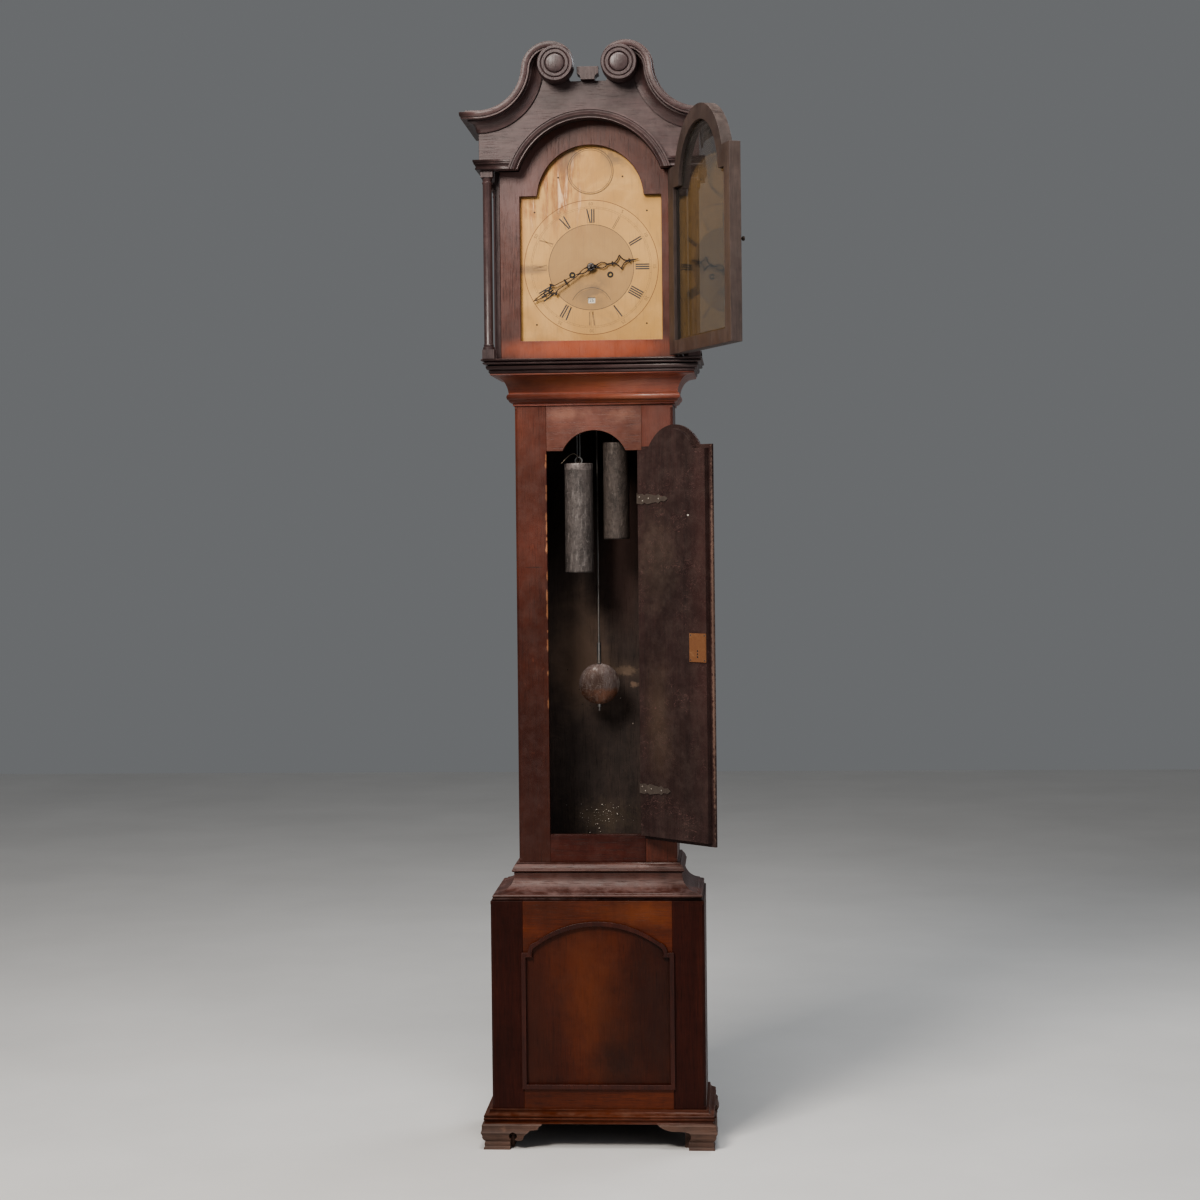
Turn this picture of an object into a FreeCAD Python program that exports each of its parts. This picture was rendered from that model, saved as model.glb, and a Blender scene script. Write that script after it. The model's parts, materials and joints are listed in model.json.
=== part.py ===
import FreeCAD, Part
import math
import os

# Longcase clock with a swan-neck hood, modelled with both doors standing open.
# Millimetres. Z is up, the clock faces -Y and its right-hand side is +X.
# The origin is on the floor, in the middle of the backboard's rear face.

os.makedirs("parts", exist_ok=True)
V = FreeCAD.Vector
FULL_TURN = 360.0
HALF_TURN = 180.0
QUARTER_TURN = 90.0

# Heights of the case, from the floor up
foot_high = 53.0
plinth_high = 27.0
base_high = 426.0
waist_high = 72.0
trunk_high = 947.0
throat_high = 65.0
hood_base_high = 30.0
column_high = 386.5
shoulder_high = 20.0

# Widths and depths of the case
base_wide = 439.0
base_deep = 240.0
trunk_wide = 328.0
trunk_deep = 185.0
hood_deep = 250.0
board_thick = 16.0
frame_thick = 16.0
gap = 0.3
overrun = 40.0
profile_chords = 3
turned_chords = 2
chamfer_wide = 7.0

# Ogee bracket feet
foot_long = 126.0
foot_out = 23.0
foot_thick = 22.0
foot_hole_r = 8.0
foot_hole_along = 66.5
foot_hole_up = 28.6
rear_foot_long = 92.0

# Mouldings, measured outwards from the face that carries them
plinth_out = 17.0
waist_side_back = 3.5
waist_front_back = 5.0
throat_out = 46.0
hood_base_out = 62.0

# Base front
base_stile_wide = 66.0
panel_over_stile = 3.5
panel_foot_up = 41.0
panel_shoulder_up = 321.0
panel_arch_up = 342.5
panel_apex_up = 384.5
panel_ear_wide = 30.0
panel_ledge = 14.0
panel_bead_wide = 9.5
panel_bead_out = 6.0
panel_recess = 3.0
base_floor_thick = 14.0

# Trunk front and door
opening_half = 99.0
opening_foot_up = 57.0
opening_shoulder_up = 852.5
opening_arch_half = 65.0
opening_apex_up = 895.0
door_lip = 7.0
door_lip_thick = 7.5
door_body_thick = 12.5
door_gap = 1.0
door_hinge_gap = 4.5
trunk_door_open = 137.0
knuckle_r = 3.5
hinge_pin_r = 1.6
running_fit = 0.05
knuckle_out = 4.5
knuckle_side = 0.5
leaf_thick = 1.2
leaf_high = 26.0
strap_long = 88.0
strap_high = 22.0
strap_thick = 1.6
hinge_high_up = 751.0
hinge_low_up = 155.0
lock_wide = 46.0
lock_high = 58.0
lock_thick = 2.0
lock_up = 421.0

# Hood
hood_over_trunk = 34.0
hood_side_thick = 10.0
mask_thick = 9.0
sight_half = 146.0
sight_foot_up = 37.0
sight_shoulder_up = 335.0
sight_arch_r = 110.0
sight_arch_drop = 6.0
hood_arch_r = 156.0
hood_arch_drop = 53.0
arch_bead_wide = 19.0
arch_bead_out = 14.0
shoulder_out = 12.0
hood_shelf_out = 28.0
tympanum_thick = 18.0
roof_thick = 6.0
column_gap = 0.5
column_r = 10.0
column_back = 14.0
column_block = 25.0
column_plinth_high = 19.0
column_capital_high = 14.0
rear_column_back = 30.0

# Swan necks: a horizontal start, a hollow sweep and a curl round the rosette
neck_over_arch = 15.5
neck_wide = 43.0
neck_out = 36.0
curl_x = 77.5
curl_above = 80.5
curl_r = 58.0
curl_turn = 60.0
tip_r = 40.0
tip_end = -25.0
rosette_x = 65.0
rosette_above = 90.5
rosette_r = 37.0
rosette_out = 44.0
finial_block_half = 22.0
finial_block_foot_half = 14.5
finial_block_high = 26.5
finial_block_neck = 12.0
finial_block_deep = 36.0
saddle_above = 60.0

# Hood door
hood_door_thick = 23.0
hood_door_front = 3.5
hood_door_stile = 38.0
hood_door_rail = 32.0
hood_door_arch_wide = 36.5
hood_door_open = 110.0
hood_door_gap = 3.0
hood_door_arch_gap = 4.5
pivot_inset = 7.0
pivot_back = 6.0
pivot_r = 2.0
pivot_depth = 6.0
glass_thick = 2.4
glass_bite = 5.0
knob_r = 4.5
knob_long = 12.0
knob_up = 200.0

# Dial and hands
dial_half = 152.5
dial_up = 188.0
dial_arch_r = 116.0
dial_arch_up = 144.0
dial_thick = 2.0
dial_behind_mask = 2.0
boss_up = 198.0
boss_r = 46.0
boss_out = 0.8
winding_x = 39.2
winding_drop = 15.7
winding_hole_r = 5.5
centre_hole_r = 5.5
calendar_drop = 68.0
calendar_wide = 15.0
calendar_high = 12.0
calendar_in_r = 58.0
calendar_out_r = 78.0
calendar_thick = 1.2
minute_hand_long = 139.0
hour_hand_long = 99.0
minute_hand_turn = 240.0
hour_hand_turn = 81.0
hand_thick = 1.2
hand_boss_r = 6.0

# Movement
dial_to_plate = 39.0
plate_thick = 3.0
plate_gap = 64.0
plate_half = 64.0
plate_below = 86.0
plate_above = 88.0
pillar_r = 4.5
pillar_inset = 9.0
seatboard_thick = 18.0
seatboard_out = 8.0
barrel_r = 25.4
barrel_long = 42.0
line_r = 0.7
line_sides = 6
arbor_r = 2.0
pivot_fit = 0.05
wheel_thick = 2.0
barrel_arbor_r = 4.0
winding_square = 6.4
great_teeth = 96
centre_teeth = 60
third_teeth = 56
escape_teeth = 30
centre_leaves = 8
third_leaves = 8
escape_leaves = 7
centre_module = 0.9
third_module = 0.85
third_x = 19.0
escape_r = 24.0
pallet_clear = 1.7
motion_teeth = 36
motion_leaves = 6
hour_teeth = 72
motion_module = 0.8
bell_r = 48.0
bell_thick = 2.5
bell_up = 118.0
barrel_front_gap = 5.5
wheel_gap = 1.5
plate_front_gap = 2.5
pin_pivot_r = 1.2
hub_r = 6.0
arm_wide = 2.6
anchor_tip = 3.0
crutch_behind = 3.0
cock_thick = 2.5
cock_half = 28.0
hand_stack = 8.5
hand_gap = 2.2
pipe_wall = 1.0
pipe_gap = 0.2
strike_teeth = 78
strike_module = 0.8
hammer_x = -40.0
hammer_up = 68.0
hammer_head_r = 5.0
hammer_head_long = 13.0
hammer_rest_gap = 0.8
hammer_tail = 14.0

# Pendulum, hanging in the plane behind the movement
pendulum_behind_plate = 16.0
bob_drop = 944.0
bob_r = 43.0
bob_thick = 26.0
rod_r = 2.2
sleeve_r = 4.6
sleeve_high = 44.0
rating_nut_r = 4.5
rating_nut_high = 6.0
rating_screw_long = 14.0
spring_high = 22.0
spring_wide = 8.0
spring_thick = 0.4
crutch_long = 150.0

# Weights, pulleys and lines
pulley_r = 22.4
pulley_thick = 6.0
left_weight_r = 28.5
left_weight_high = 228.0
left_weight_up = 1178.0
right_weight_r = 26.0
right_weight_high = 202.0
right_weight_up = 1247.0
weight_eye_r = 7.0
wire_r = 1.4
hanger_half = 3.0
left_hanger = 78.0
right_hanger = 30.0
pulley_flange = 1.6
stirrup_half = 4.0
line_hole_r = 3.0

# Levels and planes that follow from the sizes above
z_plinth = foot_high
z_base = z_plinth + plinth_high
z_waist = z_base + base_high
z_trunk = z_waist + waist_high
z_throat = z_trunk + trunk_high
z_hood = z_throat + throat_high
z_floor = z_hood + hood_base_high
z_shoulder = z_floor + column_high
base_half = base_wide / 2
trunk_half = trunk_wide / 2
waist_side_out = base_half - trunk_half - waist_side_back
waist_front_out = base_deep - trunk_deep - waist_front_back
panel_half = base_half - base_stile_wide + panel_over_stile
panel_arch_half = panel_half - panel_ear_wide
hood_side_half = trunk_half + hood_over_trunk
tympanum_half = hood_side_half + hood_shelf_out
mask_half = hood_side_half - hood_side_thick - door_gap
hood_door_half = mask_half - door_gap
column_x = hood_side_half + column_block / 2 + column_gap
z_dial = z_floor + dial_up
z_arch = z_shoulder - hood_arch_drop
z_neck = z_arch + hood_arch_r + neck_over_arch
y_mask = -hood_deep + hood_door_front + hood_door_thick + 2 * door_gap
y_dial = y_mask + mask_thick + dial_behind_mask
y_plate = y_dial + dial_thick + dial_to_plate
y_gap = y_plate + plate_thick
y_back_plate = y_gap + plate_gap
y_movement_back = y_back_plate + plate_thick
y_pendulum = y_movement_back + pendulum_behind_plate
y_weight = y_gap + plate_gap / 2

# Profiles of the mouldings as (outwards, upwards, rise) shares of their size.
# The third share is the rise of an arc over its chord, and 0 makes a straight line.
PLINTH_PROFILE_SHARES = [
    (0, 0, 0), (0.95, 0, 0), (0.9, 0.26, -0.2), (1, 0.3, 0), (1, 0.38, 0), (0.9, 0.42, 0), (0.9, 0.46, 0),
    (0.8, 0.64, 0.4), (0.66, 0.66, 0), (0.3, 0.92, -0.2), (0.28, 1, 0), (0, 1, 0)]
WAIST_PROFILE_SHARES = [
    (0, 0, 0), (1, 0, 0), (1, 0.045, 0), (0.97, 0.05, 0), (0.97, 0.085, 0), (0.93, 0.165, 0.4),
    (0.84, 0.17, 0), (0.8, 0.2, 0), (0.2, 0.72, -0.22), (0.18, 0.735, 0), (0.26, 0.75, 0), (0.26, 0.81, 0.3),
    (0.12, 0.96, 0.1), (0.1, 1, 0), (0, 1, 0)]
THROAT_PROFILE_SHARES = [
    (0, 0, 0), (0.07, 0, 0), (0.07, 0.07, 0), (0.22, 0.13, 0.1), (0.24, 0.17, 0), (0.26, 0.37, 0.3),
    (0.24, 0.38, 0), (0.46, 0.8, -0.07), (0.85, 0.935, -0.1), (0.97, 0.95, 0), (1, 0.96, 0), (1, 1, 0),
    (0, 1, 0)]
HOOD_BASE_PROFILE_SHARES = [
    (0, 0, 0), (0.73, 0, 0), (0.78, 0.16, 0.2), (0.76, 0.18, 0), (0.76, 0.23, 0), (0.82, 0.26, 0),
    (0.86, 0.5, 0.15), (0.8, 0.53, 0), (0.8, 0.6, 0), (0.93, 0.63, 0), (0.96, 0.73, 0.2), (0.91, 0.75, 0),
    (0.91, 0.81, 0), (1, 0.86, 0), (1, 0.97, 0.3), (0.98, 1, 0), (0, 1, 0)]
CORNICE_PROFILE_SHARES = [
    (0, 0, 0), (0.1, 0, 0), (0.12, 0.06, 0), (0.5, 0.48, -0.2), (0.56, 0.5, 0), (0.56, 0.57, 0),
    (0.92, 0.59, 0), (0.92, 0.67, 0), (0.97, 0.69, 0), (1, 0.9, 0.08), (0.72, 0.93, 0), (0.7, 0.94, 0),
    (0.7, 1, 0), (0, 1, 0)]
SHOULDER_PROFILE_SHARES = [
    (0, 0, 0), (0.5, 0, 0), (0.55, 0.2, 0.3), (0.8, 0.55, -0.2), (0.86, 0.62, 0), (0.86, 0.75, 0),
    (1, 0.8, 0), (1, 1, 0), (0, 1, 0)]
foot_root_share = 0.3
rear_board_share = 0.5
FOOT_PROFILE_SHARES = [
    (-foot_root_share, 1, 0), (0.8, 1, 0), (0.9, 0.94, 0.15), (1, 0.66, 0.08), (0.86, 0.48, 0.1),
    (0.6, 0.32, -0.1), (0.64, 0.12, -0.1), (0.75, 0.04, 0), (0.75, 0, 0), (-foot_root_share, 0, 0)]
# Fronts of the bracket feet as (along, up, rise) shares of foot_long and foot_high
SCROLL_BRACKET_SHARES = [
    (0, 0, 0), (0.479, 0, 0), (0.479, 0.33, 0), (0.505, 0.5, 0), (0.545, 0.42, 0), (0.568, 0.347, 0),
    (0.641, 0.335, 0.1), (0.69, 0.405, 0.15), (0.738, 0.6, -0.12), (0.803, 0.75, 0), (0.933, 0.79, 0),
    (0.99, 0.945, -0.15), (1, 1, 0), (0, 1, 0)]
BROKEN_BRACKET_SHARES = [
    (0, 0, 0), (0.468, 0, 0), (0.468, 0.3, 0), (0.436, 0.45, 0), (0.436, 0.614, 0), (0.46, 0.69, 0),
    (0.525, 0.73, 0), (0.751, 0.75, 0), (0.848, 0.806, 0), (0.913, 0.883, 0), (0.977, 1, 0), (0, 1, 0)]
# Shares of one size that place a detail on it
corona_share = 0.68
glass_share = 0.6
knob_share = 0.4
neck_share = 0.5
knob_body_share = 0.7
knob_round_share = 0.3
root_share = 1.35
wheel_add_share = 0.95
leaf_add_share = 0.8
root_width_share = 0.25
tip_width_share = 0.07
rim_share = 3.2
escape_plane_share = 0.44
escape_root_share = 0.84
escape_rim_share = 0.74
escape_lean = math.radians(5.0)
escape_land = math.radians(1.2)
bell_high_share = 0.62
bell_rise_share = 0.2
ear_rise_share = 0.2
lip_round_share = 0.55
strap_foot_share = 0.42
anchor_crown_share = 0.5
anchor_elbow_share = 0.92
anchor_arm_share = 1.02
anchor_inside_share = 0.76
pallet_back_share = 0.6
pallet_root_share = 1.2
anchor_web_share = 0.7
bob_edge_share = 0.12
bob_rise_share = 0.14
wire_thin_share = 0.7
groove_half_share = 0.4
WEIGHT_SHARES = [(0, 0, 0), (0.96, 0, 0), (1, 0, 1), (1, 1, -1), (0.92, 1, 0), (0, 1, 0)]
weight_edge_share = 0.07
eye_sunk_share = 0.8
# Half outlines of the hands and of the holes pierced through them, as (along, half width) shares of length
MINUTE_HAND_SHARES = [
    (0.03, 0.034), (0.1, 0.036), (0.16, 0.026), (0.2, 0.011), (0.26, 0.018), (0.42, 0.033), (0.425, 0.044),
    (0.445, 0.044), (0.45, 0.035), (0.6, 0.046), (0.645, 0.1), (0.665, 0.094), (0.67, 0.058), (0.72, 0.034),
    (0.76, 0.05), (0.8, 0.034), (0.9, 0.022), (1, 0.003)]
MINUTE_HOLES_SHARES = [
    [(0.055, 0.008), (0.1, 0.024), (0.145, 0.017), (0.18, 0.002)],
    [(0.235, 0.004), (0.28, 0.01), (0.42, 0.022)],
    [(0.45, 0.024), (0.6, 0.034), (0.645, 0.055), (0.66, 0.04), (0.7, 0.022)],
    [(0.73, 0.024), (0.76, 0.036), (0.79, 0.022)],
    [(0.81, 0.021), (0.9, 0.011), (0.95, 0.002)]]
HOUR_HAND_SHARES = [
    (0.05, 0.045), (0.11, 0.03), (0.16, 0.052), (0.235, 0.07), (0.3, 0.05), (0.345, 0.016), (0.43, 0.014),
    (0.445, 0.046), (0.46, 0.046), (0.475, 0.016), (0.5, 0.022), (0.56, 0.07), (0.61, 0.15), (0.63, 0.15),
    (0.66, 0.09), (0.7, 0.045), (0.76, 0.018), (0.79, 0.018), (0.8, 0.046), (0.815, 0.046), (0.83, 0.016),
    (1, 0.006)]
HOUR_HOLES_SHARES = [
    [(0.125, 0.006), (0.17, 0.034), (0.235, 0.052), (0.285, 0.036), (0.325, 0.004)],
    [(0.515, 0.004), (0.57, 0.048), (0.615, 0.118), (0.645, 0.074), (0.69, 0.028), (0.735, 0.003)]]
# Outline of a hinge strap, one edge from the knuckle to the point, as shares of its length and height
STRAP_EDGE_SHARES = [
    (0, 0.42), (0.16, 0.5), (0.24, 0.34), (0.32, 0.5), (0.62, 0.3), (0.7, 0.42), (0.78, 0.2),
    (0.9, 0.26), (1, 0.03)]
# Turned lines as (radius, height) shares of the column's radius and height
COLUMN_SHARES = [
    (1.2, 0), (1.2, 0.014), (0.98, 0.018), (1.06, 0.026), (0.92, 0.034), (0.92, 0.96), (1.05, 0.966),
    (1.05, 0.972), (0.9, 0.978), (1.15, 1)]
ROSETTE_SHARES = [
    (0, 0), (1, 0), (1, 0.9), (0.95, 0.97), (0.82, 0.97), (0.77, 0.91), (0.73, 0.97), (0.58, 0.97),
    (0.53, 0.9), (0.49, 0.97), (0.38, 1), (0, 1)]


def box(x0, x1, y0, y1, z0, z1):
    """A block between two corners."""
    return Part.makeBox(x1 - x0, y1 - y0, z1 - z0, V(x0, y0, z0))


def rod(radius, start, end):
    """A round bar from start to end."""
    line = end - start
    return Part.makeCylinder(radius, line.Length, start, line)


def ring(out_r, in_r, start, end):
    """A tube from start to end."""
    return rod(out_r, start, end).cut(rod(in_r, start, end))


def scaled(shares, along, up):
    """Outline points made from shares of two sizes."""
    return [(row[0] * along, row[1] * up) + tuple(row[2:]) for row in shares]


def path(points, place):
    """A closed wire through points; a third value is an arc's rise as a share of its chord."""
    edges = []
    for index, end in enumerate(points):
        start = points[index - 1]
        a, b = place(start[0], start[1]), place(end[0], end[1])
        rise = end[2] if len(end) > 2 else 0
        if (b - a).Length < gap / 10:
            continue
        if rise:
            across = (end[1] - start[1], start[0] - end[0])
            middle = place((start[0] + end[0]) / 2 + across[0] * rise,
                           (start[1] + end[1]) / 2 + across[1] * rise)
            edges.append(Part.Arc(a, middle, b).toShape())
        else:
            edges.append(Part.makeLine(a, b))
    return Part.Wire(edges)


def chorded(points, chords):
    """The same outline with each arc cut into chords, for shapes that are turned or swept."""
    flat = []
    for index, end in enumerate(points):
        rise = end[2] if len(end) > 2 else 0
        if rise:
            start = points[index - 1]
            across = (end[1] - start[1], start[0] - end[0])
            for step in range(1, chords):
                share = step / chords
                bulge = 4 * rise * share * (1 - share)
                flat.append((start[0] + (end[0] - start[0]) * share + across[0] * bulge,
                             start[1] + (end[1] - start[1]) * share + across[1] * bulge))
        flat.append((end[0], end[1]))
    return flat


def front_prism(points, y0, y1):
    """An outline drawn on the front, (x, z), carried from y0 to y1."""
    wire = path(points, lambda x, z: V(x, y0, z))
    return Part.Face(wire).extrude(V(0, y1 - y0, 0))


def plan_prism(points, z0, z1):
    """An outline drawn in plan, (x, y), carried from z0 to z1."""
    wire = path(points, lambda x, y: V(x, y, z0))
    return Part.Face(wire).extrude(V(0, 0, z1 - z0))


def turned(points, centre, axis):
    """A solid of revolution: points are (radius, along) and axis is +Z or -Y."""
    if axis == "up":
        place, direction = (lambda r, h: centre + V(r, 0, h)), V(0, 0, 1)
    else:
        place, direction = (lambda r, h: centre + V(r, -h, 0)), V(0, 1, 0)
    wire = path(chorded(points, turned_chords), place)
    return Part.Face(wire).revolve(centre, direction, FULL_TURN)


def mirrored(shape):
    """The same shape on the other side of the clock."""
    return shape.mirror(V(0, 0, 0), V(1, 0, 0))


def both(shape):
    """A shape and its mirror image."""
    return [shape, mirrored(shape)]


def moulding(shares, side_out, front_out, high, half, front, back, level):
    """Mitred front and side lengths of a moulding round a case."""
    wide, deep = half + 2 * side_out, front - 2 * front_out
    face = path(scaled(shares, front_out, high), lambda out, up: V(-wide, front - out, level + up))
    ahead = Part.Face(face).extrude(V(2 * wide, 0, 0))
    low, top = level - high, level + 2 * high
    mitre = plan_prism([(-wide, deep), (wide, deep), (half - side_out, front + front_out),
                        (-half + side_out, front + front_out)], low, top)
    face = path(scaled(shares, side_out, high), lambda out, up: V(half + out, back, level + up))
    beside = Part.Face(face).extrude(V(0, deep - back, 0))
    corner = plan_prism([(half - side_out, front + front_out), (wide, deep), (wide, back),
                         (half - side_out, back)], low, top)
    return [ahead.common(mitre)] + both(beside.common(corner))


def chamfered(block, half, front, z0, z1):
    """Cuts the stopped chamfer off a front corner of the case."""
    wide = chamfer_wide / math.sqrt(2)
    for side in (-1, 1):
        corner = [(side * half, front), (side * (half - wide), front), (side * half, front + wide)]
        block = block.cut(plan_prism(corner, z0, z1))
    return block


def save(name, solids):
    """Writes one node."""
    solids = solids if isinstance(solids, list) else [solids]
    flat = [solid for shape in solids for solid in shape.Solids]
    shape = flat[0] if len(flat) == 1 else Part.makeCompound(flat)
    shape.exportStep("parts/" + name + ".step")


# Feet


def bracket_foot(shares, pierced):
    """A right front foot: two ogee brackets meeting at the corner."""
    length = 2 * foot_long
    profile = scaled(FOOT_PROFILE_SHARES, foot_out, foot_high)
    front_face = path(profile, lambda out, up: V(base_half - length, -base_deep - out, up))
    front_piece = Part.Face(front_face).extrude(V(2 * length, 0, 0))
    side_face = path(profile, lambda out, up: V(base_half + out, -base_deep + length, up))
    side_piece = Part.Face(side_face).extrude(V(0, -2 * length, 0))
    corner_x, corner_y = base_half + foot_out, -base_deep - foot_out
    outline = scaled(shares, foot_long, foot_high)
    front_cut = front_prism([(corner_x - p[0], p[1]) + tuple(-r for r in p[2:]) for p in outline],
                            corner_y, -base_deep + foot_thick)
    side_wire = path(outline, lambda along, up: V(corner_x, corner_y + along, up))
    side_cut = Part.Face(side_wire).extrude(V(-foot_out - foot_thick, 0, 0))
    inner = [(base_half - length, -base_deep + length), (corner_x + overrun, corner_y - overrun)]
    ahead = plan_prism([inner[0], inner[1], (base_half - length, corner_y - overrun)], 0, foot_high)
    beside = plan_prism([inner[0], inner[1], (corner_x + overrun, -base_deep + length)], 0, foot_high)
    foot = front_piece.common(front_cut).common(ahead).fuse(side_piece.common(side_cut).common(beside))
    if pierced:
        centre = V(corner_x - foot_hole_along, corner_y - overrun, foot_hole_up)
        foot = foot.cut(rod(foot_hole_r, centre, centre + V(0, foot_out + foot_thick + overrun, 0)))
    root = foot_out * foot_root_share
    block = box(base_half - 2 * foot_thick, base_half - root, -base_deep + root, -base_deep + 2 * foot_thick,
                0, foot_high)
    return foot.fuse(block).removeSplitter()


def rear_foot():
    """A right rear foot: an ogee bracket on the side and a plain board behind."""
    profile = scaled(FOOT_PROFILE_SHARES, foot_out, foot_high)
    side_face = path(profile, lambda out, up: V(base_half + out, 0, up))
    side_piece = Part.Face(side_face).extrude(V(0, -rear_foot_long, 0))
    outline = scaled(BROKEN_BRACKET_SHARES, rear_foot_long, foot_high)
    side_wire = path(outline, lambda along, up: V(base_half + foot_out, -along, up))
    side_cut = Part.Face(side_wire).extrude(V(-foot_out - foot_thick, 0, 0))
    side_piece = side_piece.common(side_cut)
    inside = base_half - foot_out * foot_root_share
    clear = inside - trunk_half - gap
    board = front_prism([(inside, 0), (inside, foot_high), (inside - clear, foot_high),
                         (inside - clear * rear_board_share, 0)], -board_thick, 0)
    return side_piece.fuse(board).removeSplitter()


save("foot_front_right", bracket_foot(BROKEN_BRACKET_SHARES, False))
save("foot_front_left", mirrored(bracket_foot(SCROLL_BRACKET_SHARES, True)))
save("rear_feet", both(rear_foot()))

# Base box

plinth_run = moulding(PLINTH_PROFILE_SHARES, plinth_out, plinth_out, plinth_high, base_half, -base_deep, 0,
                      z_plinth)
save("plinth_moulding", plinth_run)


def panel_outline(inset):
    """Outline of the arched base panel, drawn inwards by inset."""
    low, shoulder = z_base + panel_foot_up + inset, z_base + panel_shoulder_up - inset
    spring, apex = z_base + panel_arch_up - inset, z_base + panel_apex_up - inset
    side, arch = panel_half - inset, panel_arch_half
    ledge, rise = side - panel_ledge, (apex - spring) / (2 * arch)
    return [(-side, low), (side, low), (side, shoulder), (ledge, shoulder), (arch, spring, ear_rise_share),
            (-arch, spring, rise), (-ledge, shoulder, ear_rise_share), (-side, shoulder)]


base_front = -base_deep + frame_thick
stile = box(base_half - base_stile_wide, base_half, -base_deep, base_front, z_plinth, z_waist)
chamfer_low, chamfer_high = z_base + chamfer_wide, z_waist - chamfer_wide
save("base_stiles", both(chamfered(stile, base_half, -base_deep, chamfer_low, chamfer_high)))
rail_half = base_half - base_stile_wide
opening = front_prism(panel_outline(panel_bead_wide / 2), -base_deep - overrun, base_front + overrun)
field = box(-rail_half, rail_half, -base_deep, base_front, z_plinth, z_waist)
rail_split = z_base + panel_shoulder_up - base_stile_wide
top_rail = field.common(box(-rail_half, rail_half, -base_deep, base_front, rail_split, z_waist))
bottom_rail = field.cut(top_rail)
save("base_rails", [top_rail.cut(opening), bottom_rail.cut(opening)])
panel = front_prism(panel_outline(panel_bead_wide / 2), -base_deep + panel_recess, base_front)
save("base_panel", panel.common(field))
bead = front_prism(panel_outline(0), -base_deep - panel_bead_out, -base_deep)
bead = bead.cut(front_prism(panel_outline(panel_bead_wide), -base_deep - overrun, base_front))
inner_bead = front_prism(panel_outline(panel_bead_wide / 2), -base_deep, -base_deep + panel_recess)
inner_bead = inner_bead.cut(front_prism(panel_outline(panel_bead_wide), -base_deep - overrun, base_front))
bead = bead.fuse(inner_bead.common(field)).removeSplitter()
save("base_panel_moulding", bead)
side = box(base_half - board_thick, base_half, base_front, 0, z_plinth, z_waist)
save("base_sides", both(side))
wing = box(trunk_half, base_half - board_thick, -board_thick, 0, z_plinth, z_waist)
inner_half = base_half - board_thick
floor_board = box(-inner_half, inner_half, base_front, -board_thick, z_plinth, z_plinth + base_floor_thick)
save("base_boards", both(wing) + [floor_board])
save("backboard", box(-trunk_half, trunk_half, -board_thick, 0, 0, z_shoulder))
waist_run = moulding(WAIST_PROFILE_SHARES, waist_side_out, waist_front_out, waist_high, trunk_half,
                     -trunk_deep, 0, z_waist)
save("waist_moulding", waist_run)

# Trunk


def trunk_opening(spread):
    """Outline of the trunk door's opening, let out by spread."""
    low, shoulder = z_trunk + opening_foot_up - spread, z_trunk + opening_shoulder_up + spread
    apex = z_trunk + opening_apex_up + spread
    side, arch = opening_half + spread, opening_arch_half + spread
    rise = (apex - shoulder) / (2 * arch)
    return [(-side, low), (side, low), (side, shoulder), (arch, shoulder), (-arch, shoulder, rise),
            (-side, shoulder)]


trunk_front = -trunk_deep + frame_thick
stile = box(opening_half, trunk_half, -trunk_deep, trunk_front, z_waist, z_hood)
chamfer_low, chamfer_high = z_trunk + chamfer_wide, z_throat - chamfer_wide
save("trunk_stiles", both(chamfered(stile, trunk_half, -trunk_deep, chamfer_low, chamfer_high)))
hole = front_prism(trunk_opening(0), -trunk_deep - overrun, trunk_front + overrun)
z_door_low = z_trunk + opening_foot_up
z_door_shoulder = z_trunk + opening_shoulder_up
rail = box(-opening_half, opening_half, -trunk_deep, trunk_front, z_door_shoulder, z_hood)
save("trunk_top_rail", rail.cut(hole))
rail = box(-opening_half, opening_half, -trunk_deep, trunk_front, z_waist, z_door_low)
save("trunk_bottom_rail", rail)
z_seat = z_dial - plate_below
z_cheek = z_seat - seatboard_thick
side = box(trunk_half - board_thick, trunk_half, trunk_front, -board_thick, z_waist, z_cheek)
save("trunk_sides", both(side))
throat_run = moulding(THROAT_PROFILE_SHARES, throat_out, throat_out, throat_high, trunk_half, -trunk_deep, 0,
                      z_throat)
save("throat_moulding", throat_run)

# Trunk door, drawn shut and then swung open about its hinge

door_front = -trunk_deep - door_lip_thick - 2 * gap
door_back = door_front + door_lip_thick + door_body_thick
pivot_x = opening_half - knuckle_side
pivot_y = -trunk_deep - knuckle_out
door_pivot = V(pivot_x, pivot_y, 0)
hinge_edge = opening_half - door_hinge_gap


def swung_open(shape):
    """The trunk door's pieces as they stand in the open pose."""
    moved = shape.copy()
    moved.rotate(door_pivot, V(0, 0, 1), trunk_door_open)
    return moved


lip = front_prism(trunk_opening(door_lip), door_front, door_front + door_lip_thick)
body = front_prism(trunk_opening(-door_gap), door_front + door_lip_thick, door_back)
leaf = lip.fuse(body)
beyond = box(hinge_edge, 2 * trunk_half, -2 * trunk_deep, 0, z_waist, z_hood)
leaf = leaf.cut(beyond).removeSplitter()
lip_edges = []
for edge in leaf.Edges:
    flat = abs(edge.BoundBox.YMax - door_front) < gap and abs(edge.BoundBox.YMin - door_front) < gap
    if flat and edge.BoundBox.XMax < hinge_edge - gap:
        lip_edges.append(edge)
leaf = leaf.makeFillet(door_lip_thick * lip_round_share, lip_edges)
save("trunk_door", swung_open(leaf))


def strap_outline():
    """Turned outline of the hinge strap, as x and z offsets from its knuckle end."""
    upper = [(-x * strap_long, z * strap_high) for x, z in STRAP_EDGE_SHARES]
    lower = [(x, -z) for x, z in reversed(upper)]
    return upper + lower


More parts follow.
